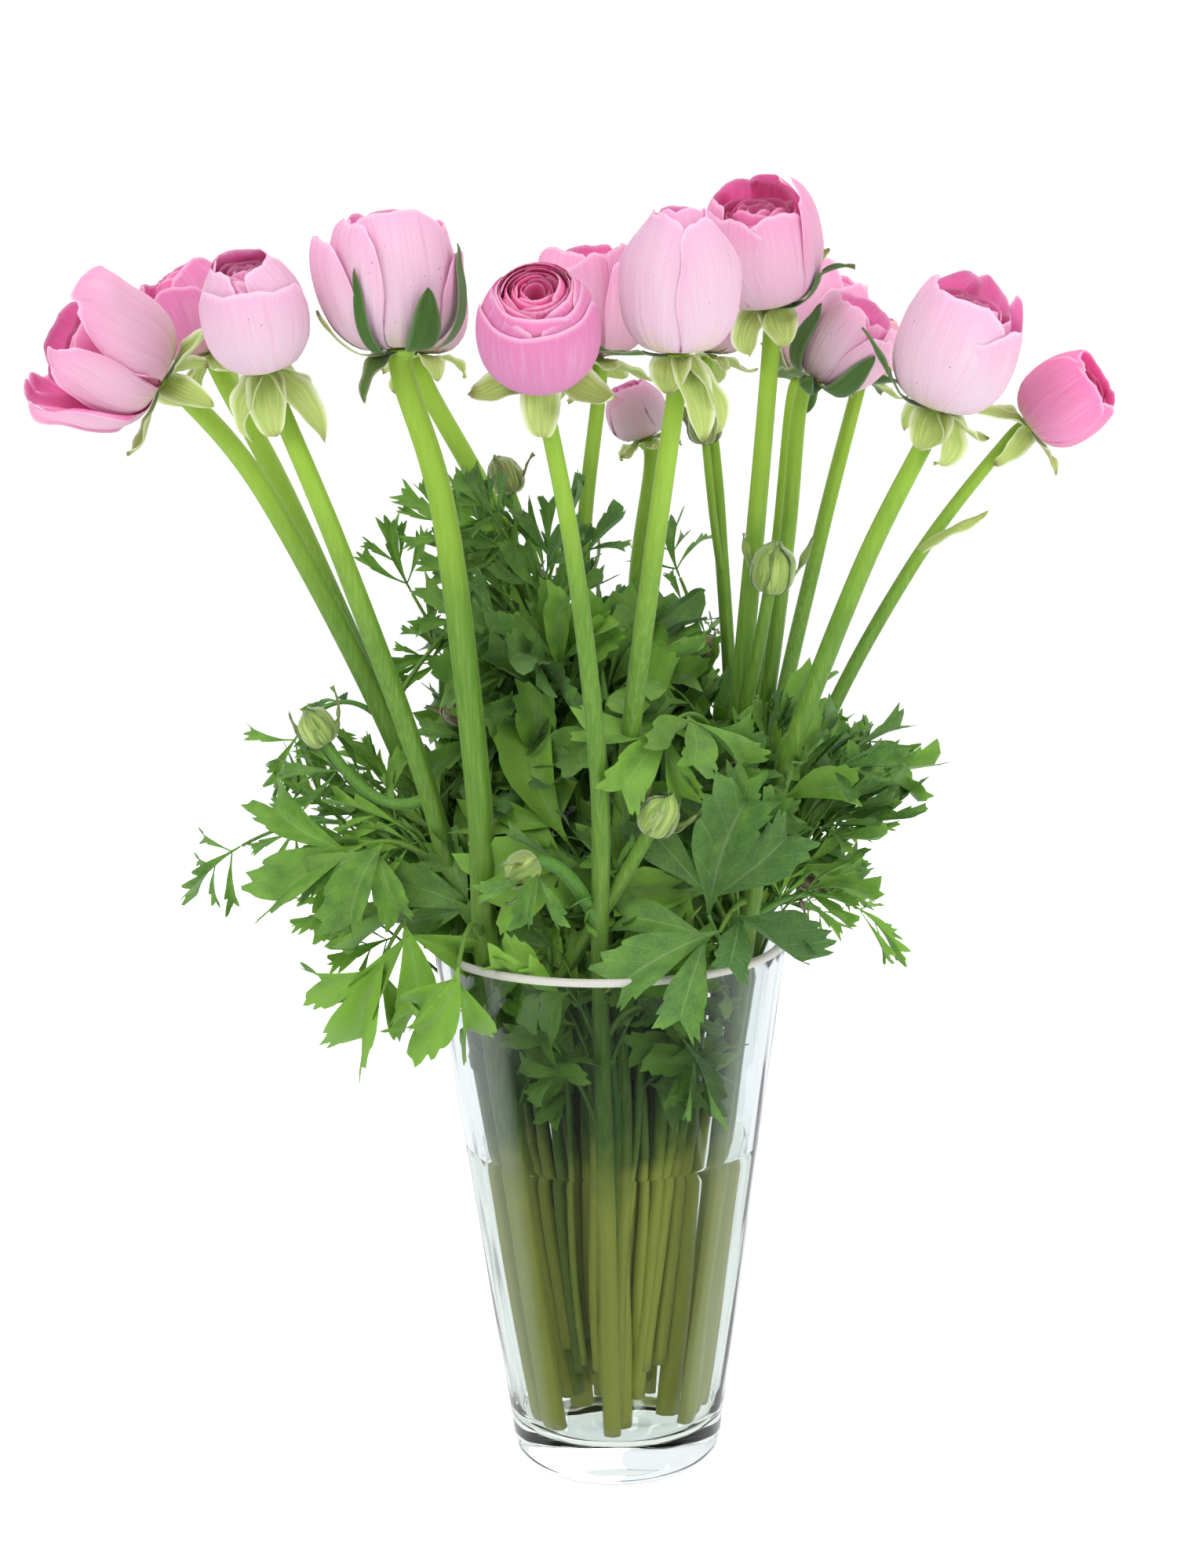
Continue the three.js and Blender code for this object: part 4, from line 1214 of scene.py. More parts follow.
def leaf(shell: Shell, root: Array, ahead: Array, normal: Array, length: float, form: LeafForm,
         tone: float, droop: float, rng: np.random.Generator, dress: int = 0, fine: bool = True) -> None:
    """A whole leaf: its middle blade, and side blades that leave its midrib.

    Args:
        shell: Where it is added.
        root: Where it joins its stalk, mm.
        ahead: The way it sets out.
        normal: The way its upper side faces.
        length: Its length, mm.
        form: Its shape.
        tone: Its tone trait.
        droop: How far its tip has bent down, radians.
        rng: What varies one leaf from the next.
        dress: Which of the piece's materials it wears.
        fine: Whether its blades have the full grid.
    """
    cut = LEAF_CUTS[form]
    mid, way, up = blade_sheet(shell, root, ahead, normal, length, cut, droop, tone,
                               float(rng.uniform(0.0, 6.28)), dress, fine)
    for start, turn, share in cut.blades[1:]:
        i = int(start * (len(mid) - 1))
        angle = math.radians(turn * float(rng.uniform(0.85, 1.15)))
        size = length * share * float(rng.uniform(0.9, 1.1))
        bent = droop * float(rng.uniform(0.6, 1.3))
        seed = float(rng.uniform(0.0, 6.28))
        blade_sheet(shell, mid[i], turned(way[i], up[i], angle), up[i], size, cut, bent, tone, seed,
                    dress, fine)


@dataclass(frozen=True)
class Shoot:
    """A side shoot: the stem it leaves and where, where it ends, and what it carries."""

    name: str
    on: int  # the flower whose stem it leaves
    start: float  # the height at which it leaves, mm
    to: tuple[float, float, float]  # where it ends, mm
    bow: float  # how far its stalk bows upwards, mm
    stalk: float  # the stalk's radius, mm
    leaves: int
    size: float  # the length of its end leaf, mm
    bud: float = 0.0  # the radius of its bud, mm; 0 has none
    form: LeafForm = LeafForm.WEDGE
    tone: float = 0.35
    droop: float = 0.7
    bud_tone: float = 0.1
    spacing: float = 0.23  # from one leaf to the next, as a share of the stalk
    shrink: float = 0.12  # how much smaller each leaf is than the one beyond it, as a share of the end leaf
    splay: float = 0.95  # how far its side leaves turn out, radians
    fine: bool = True  # whether its leaves have the full grid
    aim: tuple[float, float, float] | None = None  # where its last leaf points, if not straight on

    def line(self, flowers: Mapping[int, Flower]) -> Array:
        """The stalk's centre line: an arc bowed up between its ends."""
        start, end = flowers[self.on].point_above(self.start), np.array(self.to)
        middle = (start + end) / 2 + 2 * self.bow * UP
        t = np.linspace(0.0, 1.0, 25)[:, None]
        return (1 - t) ** 2 * start + 2 * t * (1 - t) * middle + t**2 * end

    def grow(self, shell: Shell, flowers: Mapping[int, Flower]) -> None:
        """Adds the stalk, its leaves and its bud; dress 0 is leaf, 1 is stalk and 2 is bud."""
        path = self.line(flowers)
        seed = sum(ord(letter) * (i + 3) for i, letter in enumerate(self.name))
        rng = np.random.default_rng(seed)
        t = np.linspace(0.0, 1.0, len(path))
        radius = self.stalk * (1.0 - (0.1 if self.bud else 0.55) * t)
        tube(shell, path, radius, 12, float(rng.uniform(0.2, 0.9)), 1, ribs=4, rib=0.08)
        first = 1 if self.bud else 0
        for k in range(first, self.leaves + first):
            share = 1.0 - self.spacing * k
            i = int(round(share * (len(path) - 1)))
            way = unit(path[min(i + 1, len(path) - 1)] - path[max(i - 1, 0)])
            side = unit(np.cross(LIGHT, way))
            side = turned(side, way, -0.4 + 0.5 * k)
            normal = np.cross(way, side)
            ahead = turned(way, normal, 0.0 if k == 0 else self.splay * (1 if k % 2 else -1))
            if k == 0 and self.aim:
                ahead = unit(np.array(self.aim))
                normal = unit(LIGHT - (LIGHT @ ahead) * ahead)
            tone = float(np.clip(self.tone + rng.uniform(-0.18, 0.22), 0, 1))
            droop = self.droop * float(rng.uniform(0.5, 1.3))
            leaf(shell, path[i], ahead, normal, self.size * (1.0 - self.shrink * k), self.form, tone, droop,
                 rng, 0, self.fine)
        if self.bud:
            self._bud(shell, path, rng)

    def _bud(self, shell: Shell, path: Array, rng: np.random.Generator) -> None:
        """The bud: a round core in five overlapping sepals that close to a beak, over three narrow bracts."""
        axis = unit(path[-1] - path[-4])
        turn, size = turn_to(axis), self.bud
        base = path[-1] - axis * size * 0.95
        u = np.linspace(0.04, 0.97, 12)[:, None] * math.pi
        a = np.linspace(0.0, 2 * math.pi, 20, endpoint=False)[None]
        local = np.stack([0.86 * size * np.sin(u) * np.cos(a), 0.86 * size * np.sin(u) * np.sin(a),
                          size * (1.0 - np.cos(u)) * 0.95 + 0.0 * a], axis=-1)
        along = np.broadcast_to(u / math.pi * 0.7, local.shape[:2])
        shell.ring(local @ turn.T + base, traits_of(along, 0.0, 0.0, self.bud_tone), 2)
        for k in range(5):
            cut = PetalCut(
                turn=2 * math.pi * k / 5 + float(rng.uniform(-0.15, 0.15)), girth=size * (0.98 - 0.02 * k),
                tall=size * float(rng.uniform(1.9, 2.3)), mouth=0.30, half=size * 0.95, curl=0.02,
                ruffle=0.3, blunt=1.5, tip=0.14, thick=0.4, rows=15, columns=11)
            tone = float(np.clip(self.bud_tone + rng.uniform(-0.06, 0.1), 0, 1))
            petal_sheet(shell, cut, turn, base, tone, float(rng.uniform(0.0, 6.28)), 2)
        for k in range(3):
            bract = Sepal(
                turn=130.0 * k + float(rng.uniform(-25, 25)), length=size * float(rng.uniform(2.2, 3.1)),
                half=size * 0.24, hang=float(rng.uniform(48, 70)), curl=float(rng.uniform(-1.3, -0.7)),
                flick=float(rng.uniform(-0.6, 1.6)), tone=float(np.clip(0.1 + self.bud_tone, 0, 0.9)))
            sepal_sheet(shell, bract, turn, base, self.stalk * 0.6, 2)


P = OuterPetal  # kept short for the table below
FLOWERS = {f.number: f for f in (
    Flower(1, (-62, 10), ((-90, 8, 316), (-136, -5, 416)), (-176, -15, 464), 58, 197, 4.4, 25, 46, 1.0, 112,
           HeadForm.LOOSE, PetalTone.BLUSH, spin=60, outer=(
               P(255, 0.92, 0.55, 8, 0.12, blunt=1.7), P(335, 1.08, 1.3, 8, 0.10, 0.06, 1.45),
               P(214, 0.98, 0.6, 22, 0.12, 0.10, 1.7), P(186, 1.0, 0.8, 16, 0.12, 0.08, 1.7),
               P(25, 0.94, 1.1, 5, 0.05),
               P(110, 0.95, 1.2, 8), P(158, 1.0, 0.8, 20, 0.12, 0.10, 1.7)),
           calyx=(Sepal(350, 33, 8.0, 98, 0.2, -0.5, 0.25), Sepal(200, 31, 6.0, 100, 0.3, -1.2, 0.2),
                  Sepal(292, 27, 5.5, 126, 0.3, 0.6, 0.2), Sepal(110, 26, 6.0, 112, 0.6, 0.0, 0.2),
                  Sepal(60, 26, 6.0, 108, 0.6, 0.0, 0.3))),
    Flower(2, (-54, 34), ((-92, 36, 313), (-136, 45, 415)), (-164, 45, 474), 24, 165, 4.6, 20, 40, 0.7, 112,
           HeadForm.GLOBE, PetalTone.ROSE, outer=(
               P(250, 0.60, 1.3, 3, 0.03), P(320, 0.80, 1.2, 3, 0.04), P(170, 0.90, 1.2, 8, 0.04),
               P(60, 0.95, 1.4))),
    Flower(3, (-61, -18), ((-73, -28, 298), (-102, -50, 395)), (-127, -60, 470),
           21, 245, 4.2, 20.5, 43.5, 0.70, 140,
           HeadForm.GLOBE, PetalTone.SHELL, spin=285, outer=(
               P(268, 0.70, 1.7, 5, 0.02, 0.01, 3.4), P(200, 0.88, 1.15, 1, 0.03),
               P(336, 0.88, 1.15, 1, 0.03),
               P(150, 0.96, 1.1), P(30, 0.95, 1.1), P(90, 1.0, 1.5, 0, 0.02),
               P(234, 0.80, 1.0, 0, 0.07, 0.0, 1.8),
               P(306, 0.79, 1.0, 0, 0.07, 0.0, 1.8)), fill=0.94, calyx=(
               Sepal(215, 31, 6.6, 126, 0.5, 1.2, 0.1), Sepal(262, 27, 7.6, 140, 0.3, 0.8, 0.15),
               Sepal(318, 36, 6.4, 130, 0.2, 0.6, 0.05), Sepal(20, 24, 5.5, 118, 0.8, 0.6, 0.2),
               Sepal(130, 25, 6.0, 120, 0.8, 0.0, 0.2))),
    Flower(4, (-50, -38), ((-52, -42, 303), (-62, -45, 410)), (-77, -45, 476),
           5, 235, 5.2, 24, 51, 0.85, 78,
           HeadForm.GLOBE, PetalTone.SHELL, spin=285, shade=0.75, outer=(
               P(286, 0.96, 1.35, 1, 0.05), P(190, 0.88, 1.2, 19, 0.02, blunt=2.4),
               P(222, 0.94, 0.9, 8.5, 0.05),
               P(350, 0.62, 0.75, 9, 0.05), P(20, 0.80, 1.0, 4), P(90, 0.96, 1.5, 1),
               P(150, 0.94, 1.2, 4)), calyx=(
               Sepal(243, 30, 2.7, 88, 0.0, 0.0, 0.95, hug=0.44),
               Sepal(298, 30, 6.4, 84, 0.0, 0.0, 0.85, hug=0.34),
               Sepal(222, 27, 5.0, 112, 0.6, 0.6, 0.75), Sepal(196, 36, 4.2, 84, -0.5, -0.8, 0.3),
               Sepal(340, 36, 4.6, 84, 0.0, 0.0, 0.8, hug=0.52), Sepal(120, 26, 6.0, 100, 0.4, 0.0, 0.7))),
    Flower(5, (-28, 20), ((-15, 28, 283), (-38, 43, 385)), (-75, 50, 472), 6, 90, 4.5, 19, 42, 0.75, 100,
           HeadForm.GLOBE, PetalTone.BLUSH),
    Flower(6, (-4, -54), ((-3, -62, 306), (-11, -76, 395)), (-22, -85, 467),
           42, 268, 3.6, 23.0, 43, 0.74, 108,
           HeadForm.NEST, PetalTone.ROSE, spin=270, outer=(
               P(266, 0.68, 1.9, 0, 0.0, 0.0, 4.5), P(336, 0.76, 1.3, 0, 0.0, 0.0, 3.0),
               P(200, 0.78, 1.3, 0, 0.0, 0.0, 3.0),
               P(30, 0.84, 1.3, 0, 0.01), P(150, 0.86, 1.3, 0, 0.01), P(90, 0.90, 1.8)), fill=1.0, calyx=(
               Sepal(198, 28, 8.4, 96, 0.5, -1.6, 0.1), Sepal(266, 26, 7.0, 128, 0.5, 0.9, 0.15),
               Sepal(336, 29, 7.6, 98, 0.45, -1.2, 0.05), Sepal(168, 24, 4.2, 74, -0.3, -0.4, 0.2),
               Sepal(60, 24, 6.0, 104, 0.5, 0.0, 0.2))),
    Flower(7, (-12, 42), ((-10, 48, 286), (-9, 55, 385)), (-2, 55, 469), 10, 135, 3.4, 22, 48, 0.85, 118,
           HeadForm.CUP, PetalTone.BLUSH, outer=(
               P(312, 0.84, 0.75, 27, 0.05), P(345, 0.84, 1.0, 6, 0.04), P(215, 0.90, 1.3, 3, 0.05),
               P(280, 0.72, 1.1, 4),
               P(160, 0.94, 1.2), P(90, 0.98, 1.4)),
           bracts=((372, Sepal(350, 30, 2.4, 40, -0.6, -1.6, 0.7)),)),
    Flower(8, (4, -30), ((7, -45, 300), (19, -70, 395)), (29, -80, 473), 8, 278, 4.0, 21.8, 50.5, 0.62, 142,
           HeadForm.GLOBE, PetalTone.SHELL, spin=262, outer=(
               P(312, 0.92, 1.0, 3, 0.02, blunt=1.5), P(230, 0.97, 1.08, 2, 0.03, blunt=1.5),
               P(185, 0.98, 1.0, 1, 0.10),
               P(0, 0.94, 1.0, 1, 0.10), P(90, 1.0, 1.5, 0, 0.08), P(290, 1.0, 1.0, 0, 0.12),
               P(250, 0.97, 1.0, 0, 0.12)),
           fill=0.93, calyx=(
               Sepal(186, 32, 3.4, 90, 0.1, -0.8, 0.8), Sepal(296, 36, 6.8, 138, 0.1, 0.6, 0.05),
               Sepal(322, 36, 5.0, 128, 0.2, 1.4, 0.1), Sepal(250, 17, 7.8, 130, 0.5, 0.0, 0.0),
               Sepal(90, 26, 6.0, 120, 0.6, 0.0, 0.2))),
    Flower(9, (27, 44), ((53, 54, 290), (51, 64, 395)), (47, 65, 470), 8, 45, 3.0, 17, 34, 0.75, 105,
           HeadForm.GLOBE, PetalTone.BLUSH),
    Flower(10, (40, -4), ((51, -4, 294), (61, -1, 385)), (68, 0, 491), 20, 244, 4.0, 23.5, 47, 0.85, 120,
           HeadForm.CUP, PetalTone.BLUSH, spin=250, outer=(
               P(286, 0.72, 1.1, 2, 0.05), P(350, 0.98, 0.9, 6, 0.12, blunt=1.7),
               P(218, 0.80, 1.2, 4, 0.03),
               P(40, 1.04, 0.9, 1, 0.12), P(165, 0.92, 1.1, 2, 0.04), P(100, 0.96, 1.3)), fill=0.89, calyx=(
               Sepal(330, 42, 3.6, 66, -0.3, 0.9, 0.95), Sepal(225, 24, 7.6, 112, 0.6, 1.0, 0.1),
               Sepal(285, 20, 7.6, 118, 0.5, 0.6, 0.1), Sepal(20, 32, 6.4, 84, -0.9, 0.4, 0.2),
               Sepal(120, 26, 6.0, 110, 0.6, 0.0, 0.2))),
    Flower(11, (6, 60), ((11, 72, 288), (15, 93, 370)), (19, 100, 433), 18, 200, 4.0, 13.5, 27, 0.65, 95,
           HeadForm.GLOBE, PetalTone.SHELL, shade=0.35),
    Flower(12, (53, 41), ((63, 52, 298), (76, 66, 385)), (87, 72, 459), 24, 30, 3.2, 19, 50, 0.85, 70,
           HeadForm.CUP, PetalTone.BLUSH, shade=0.6, outer=(
               P(230, 0.90, 1.1, 2, 0.06), P(300, 0.72, 1.1, 5, 0.04), P(170, 0.9, 1.2, 3),
               P(0, 0.85, 1.2, 3), P(90, 0.95, 1.4))),
    Flower(13, (42, 20), ((63, 22, 296), (77, 25, 390)), (90, 26, 459), 36, 350, 3.4, 17, 38, 0.95, 95,
           HeadForm.LOOSE, PetalTone.SHELL, shade=0.7, outer=(
               P(250, 0.80, 0.9, 8, 0.05), P(310, 0.72, 0.9, 14, 0.05), P(200, 0.85, 1.0, 5),
               P(0, 0.9, 1.1, 6), P(90, 0.95, 1.4)),
           calyx=(
               Sepal(212, 32, 5.4, 84, 0.0, 0.0, 0.8, hug=0.5), Sepal(258, 34, 4.4, 96, 0.5, -2.4, 0.95),
               Sepal(300, 28, 5.6, 84, 0.0, 0.0, 0.85, hug=0.42), Sepal(20, 36, 4.4, 70, -0.7, 0.8, 0.95),
               Sepal(120, 26, 5.0, 100, 0.4, 0.0, 0.7))),
    Flower(14, (64, 14), ((72, 40, 300), (95, 80, 385)), (116, 95, 459), 18, 20, 3.5, 13.5, 29, 0.6, 65,
           HeadForm.GLOBE, PetalTone.PEACH, shade=0.7, calyx=(
               Sepal(200, 30, 4.4, 74, -0.9, 0.4, 0.9), Sepal(262, 16, 5.5, 84, 0.0, 0.0, 0.7, hug=0.34),
               Sepal(320, 26, 4.6, 108, 0.2, -1.0, 0.4), Sepal(60, 24, 4.5, 90, 0.2, 0.0, 0.8))),
    Flower(15, (55, -28), ((69, -30, 296), (102, -34, 385)), (132, -36, 450),
           22, 315, 4.0, 23.3, 49.5, 0.84, 130,
           HeadForm.CUP, PetalTone.SHELL, spin=250, outer=(
               P(240, 0.82, 1.5, 2, 0.02, blunt=2.8), P(316, 0.66, 1.2, 3, 0.02),
               P(182, 0.90, 0.9, 2, 0.10),
               P(10, 0.84, 0.8, 4, 0.10, blunt=1.7), P(60, 0.98, 0.8, 2, 0.12, blunt=1.7),
               P(120, 1.04, 0.9, 0, 0.12, blunt=1.7)), fill=0.90, calyx=(
               Sepal(190, 46, 3.2, 92, -1.55, 0.9, 0.85), Sepal(258, 24, 8.0, 128, 0.4, -1.4, 0.1),
               Sepal(310, 28, 7.2, 120, 0.9, 1.8, 0.1), Sepal(0, 24, 5.4, 112, 0.5, -1.5, 0.2),
               Sepal(110, 25, 6.0, 118, 0.6, 0.0, 0.2))),
    Flower(16, (62, -8), ((88, -2, 312), (128, 6, 384)), (176, 10, 440), 54, 338, 2.9, 17.9, 35, 0.8, 128,
           HeadForm.CUP, PetalTone.DEEP, spin=250, outer=(
               P(248, 0.84, 1.3, 2, 0.03), P(312, 0.80, 1.1, 3), P(180, 0.90, 1.2, 2, 0.05),
               P(30, 0.86, 1.1, 2),
               P(100, 0.94, 1.4)), fill=0.90, bracts=((388, Sepal(215, 34, 2.6, 14, -1.3, 1.2, 0.4)),),
           calyx=(
               Sepal(200, 34, 4.4, 112, 0.5, -1.7, 0.3), Sepal(340, 22, 3.6, 100, -0.4, 0.8, 0.25),
               Sepal(282, 22, 4.4, 140, 0.4, 0.6, 0.15), Sepal(60, 22, 4.6, 110, 0.6, 0.0, 0.2),
               Sepal(130, 22, 4.6, 110, 0.6, 0.0, 0.2))),
)}

SHOOTS = (
    Shoot("01", 2, 240, (-160, 42, 262), 20, 1.5, 4, 36, form=LeafForm.FEATHER, tone=0.45),
    Shoot("02", 3, 296, (-119, -12, 322), -14, 2.3, 1, 30, 8, form=LeafForm.FEATHER, bud_tone=0.1),
    Shoot("03", 3, 260, (-100, -28, 276), 7, 1.6, 2, 44, form=LeafForm.LOBED, tone=0.45),
    Shoot("04", 3, 240, (-91, -42, 234), 13, 1.8, 3, 44, form=LeafForm.LOBED, tone=0.9, droop=1.1),
    Shoot("05", 4, 236, (-60, -68, 235), 12, 1.8, 1, 36, form=LeafForm.LOBED, tone=0.85, droop=1.5),
    Shoot("06", 1, 318, (-128, 6, 318), 12, 1.3, 3, 30, form=LeafForm.FEATHER, tone=0.4),
    Shoot("07", 5, 296, (-82, 38, 372), -12, 1.4, 3, 32, form=LeafForm.FEATHER, tone=0.4),
    Shoot("08", 5, 320, (-58, 24, 394), 9, 1.6, 3, 34, form=LeafForm.FEATHER, tone=0.5),
    Shoot("09", 7, 300, (-42, 75, 418), 10, 1.6, 4, 34, 8, form=LeafForm.FEATHER, tone=0.35, bud_tone=0.5),
    Shoot("10", 7, 286, (-34, 14, 340), 10, 1.8, 4, 42, form=LeafForm.LOBED, tone=0.25),
    Shoot("11", 8, 286, (-4, 20, 352), 8, 1.6, 4, 38, form=LeafForm.WEDGE, tone=0.25),
    Shoot("12", 9, 300, (34, 82, 372), 6, 1.5, 4, 32, form=LeafForm.FEATHER, tone=0.35),
    Shoot("13", 10, 300, (26, -42, 326), 12, 1.6, 2, 38, form=LeafForm.LOBED, tone=0.6),
    Shoot("14", 10, 312, (68, -22, 385), -6, 2.6, 0, 0, 9.5, bud_tone=0.05),
    Shoot("15", 13, 262, (51, -40, 304), -8, 2.2, 2, 34, 6.5, form=LeafForm.WEDGE, bud_tone=0.3),
    Shoot("16", 15, 246, (40, -50, 250), -14, 1.8, 1, 52, form=LeafForm.LOBED, tone=0.0, droop=0.2,
          aim=(0.1, -0.3, 1.0)),
    Shoot("17", 16, 240, (44, -62, 246), 8, 1.8, 2, 44, form=LeafForm.LOBED, tone=0.1, droop=0.35,
          aim=(-0.85, -0.3, -0.2)),
    Shoot("18", 16, 282, (100, 6, 303), 4, 1.4, 4, 30, form=LeafForm.FEATHER, tone=0.55),
    Shoot("19", 15, 240, (101, -12, 244), 8, 1.5, 4, 32, form=LeafForm.FEATHER, tone=0.6),
    Shoot("20", 14, 240, (87, 15, 250), 6, 2.2, 1, 28, 7, form=LeafForm.FEATHER, bud_tone=0.95),
    Shoot("21", 4, 186, (20, -63, 293), -4, 2.9, 1, 24, 8.5, form=LeafForm.WEDGE, bud_tone=0.0),
    Shoot("22", 6, 246, (-34, -70, 274), 12, 2.7, 2, 32, 7.5, form=LeafForm.WEDGE, tone=0.35, bud_tone=0.35),
    Shoot("23", 7, 250, (-22, -22, 285), 4, 2.0, 3, 40, 6, form=LeafForm.LOBED, tone=0.25, bud_tone=0.8),
    Shoot("24", 5, 268, (-62, 0, 326), 4, 2.2, 2, 38, 6, form=LeafForm.WEDGE, tone=0.3, bud_tone=1.0),
    Shoot("25", 6, 196, (28, -52, 200), 14, 1.6, 2, 34, form=LeafForm.WEDGE, tone=0.35),
    Shoot("26", 9, 372, (44, 52, 440), -8, 1.7, 0, 0, 8, bud_tone=0.45),
)

LOOSE_BUD = Shoot("27", 9, 300, (43, 40, 346), -4, 1.3, 0, 0, 6.5, bud_tone=0.9)


@dataclass(frozen=True)
class Thicket:
    """Foliage that fills the bunch between the shoots: many small sprays in one round cloud."""

    name: str
    middle: tuple[float, float, float]
    spread: tuple[float, float, float]
    count: int
    size: tuple[float, float]
    forms: tuple[LeafForm, ...]
    tone: tuple[float, float]
    rise: float = 42.0  # how far below its end a spray leaves its stem, mm
    droop: tuple[float, float] = (0.3, 1.2)
    pressed: bool = False  # whether the glass holds it in

    def grow(self, dress: Wardrobe) -> None:
        """Grows each spray from the nearest flower stem to a seeded random point of the cloud."""
        shell = Shell()
        rng = np.random.default_rng(sum(map(ord, self.name)))
        for i in range(self.count):
            way = unit(rng.normal(size=3)) * rng.uniform(0.0, 1.0) ** (1 / 2.4)
            end = np.array(self.middle) + way * self.spread
            start = float(end[2] - self.rise * rng.uniform(0.8, 1.2))
            near = min(FLOWERS, key=lambda n: float(np.hypot(*(FLOWERS[n].point_above(start) - end)[:2])))
            Shoot(f"{self.name}{i}", near, start, tuple(map(float, end)), float(rng.uniform(0, 8)),
                  float(rng.uniform(0.9, 1.5)), int(rng.integers(2, 5)), float(rng.uniform(*self.size)),
                  form=self.forms[int(rng.integers(len(self.forms)))], tone=float(rng.uniform(*self.tone)),
                  droop=float(rng.uniform(*self.droop)), fine=False).grow(shell, FLOWERS)
        if self.pressed:
            shell.press(Vase())
        piece = shell.made(f"foliage_{self.name}", dress.foliage)
        settled(piece, "foliage")


BOTH = (LeafForm.LOBED, LeafForm.WEDGE)
FINE = (LeafForm.FEATHER, LeafForm.WEDGE)
THICKETS = (
    Thicket("core_low", (-6, -4, 258), (60, 48, 28), 26, (38, 54), BOTH, (0.15, 0.6), pressed=True),
    Thicket("core_right", (34, -10, 266), (50, 44, 36), 22, (34, 50), BOTH, (0.2, 0.6), pressed=True),
    Thicket("core_mid", (-16, 12, 318), (52, 42, 36), 24, (32, 44), BOTH, (0.15, 0.6)),
    Thicket("core_back", (14, 34, 300), (64, 30, 52), 18, (28, 40), BOTH, (0.15, 0.55)),
    Thicket("crown", (-38, 26, 372), (34, 28, 34), 16, (24, 32), FINE, (0.2, 0.5)),
    Thicket("left_wing", (-88, 4, 268), (42, 34, 34), 16, (26, 36), FINE, (0.3, 0.6)),
    Thicket("right_wing", (84, -2, 276), (32, 30, 40), 18, (28, 38), FINE, (0.2, 0.55)),
    Thicket("in_glass_low", (0, -10, 190), (42, 44, 22), 14, (24, 32), BOTH, (0.5, 0.95),
            rise=30.0, droop=(0.0, 0.6), pressed=True),
    Thicket("in_glass_high", (4, -14, 220), (60, 50, 14), 20, (28, 38), BOTH, (0.5, 0.95),
            rise=34.0, droop=(0.0, 0.8), pressed=True),
)


@dataclass(frozen=True)
class Stalks:
    """Leaf stalks and cut stems that crowd the glass between the flower stems."""

    count: int = 64
    radius: tuple[float, float] = (1.2, 3.4)
    foot: tuple[float, float] = (20.0, 64.0)  # heights of their cut ends, mm
    top: tuple[float, float] = (222.0, 250.0)
    crowd: float = 0.74  # how much of the glass's inner radius they keep to

    def grow(self, dress: Wardrobe) -> None:
        """Each stalk runs from a seeded point low in the glass to one at the rim, in a slow wave."""
        shell, vase, rng = Shell(), Vase(), np.random.default_rng(41)
        t = np.linspace(0.0, 1.0, 30)
        for _ in range(self.count):
            radius, turn = float(rng.uniform(*self.radius)), float(rng.uniform(0.0, 2 * math.pi))
            low, high = float(rng.uniform(*self.foot)), float(rng.uniform(*self.top))
            way = float(rng.uniform(0.15, 1.0)) ** 0.6
            height = low + (high - low) * t
            room = (vase.inside(np.minimum(height, vase.height)) - radius - 2.0) * self.crowd
            out = room * way * (0.72 + 0.28 * t)
            angle = turn + 0.35 * float(rng.uniform(-1, 1)) * t + 0.10 * np.sin(5.0 * t + turn)
            path = np.stack([out * np.cos(angle), out * np.sin(angle), height], axis=1)
            tone = float(rng.uniform(0.0, 1.0))
            tube(shell, path, radius * (1.0 - 0.25 * t), 12, tone, 0, ribs=4, rib=0.06)
        settled(shell.made("stalks_in_glass", [dress.stem]), "stem")


class Bunch:
    """The whole bunch: vase, water, flowers, shoots and the loose foliage between them."""

    def __init__(self) -> None:
        """Mixes the materials."""
        self.dress = Wardrobe()

    def build(self) -> None:
        """Makes every piece in turn."""
        vase = Vase()
        vase.glass(self.dress)
        vase.water(self.dress)
        for flower in FLOWERS.values():
            flower.make_stem(self.dress)
            flower.make_head(self.dress)
        for shoot in SHOOTS:
            shell = Shell()
            shoot.grow(shell, FLOWERS)
            piece = shell.made(f"leafy_shoot_{shoot.name}", self.dress.foliage)
            settled(piece, "foliage", f"shoot_{shoot.name}")
        shell = Shell()
        LOOSE_BUD.grow(shell, FLOWERS)
        settled(shell.made("loose_dark_bud", self.dress.foliage), "foliage")
        for thicket in THICKETS:
            thicket.grow(self.dress)
        Stalks().grow(self.dress)


# ---------------------------------------------------------------- studio

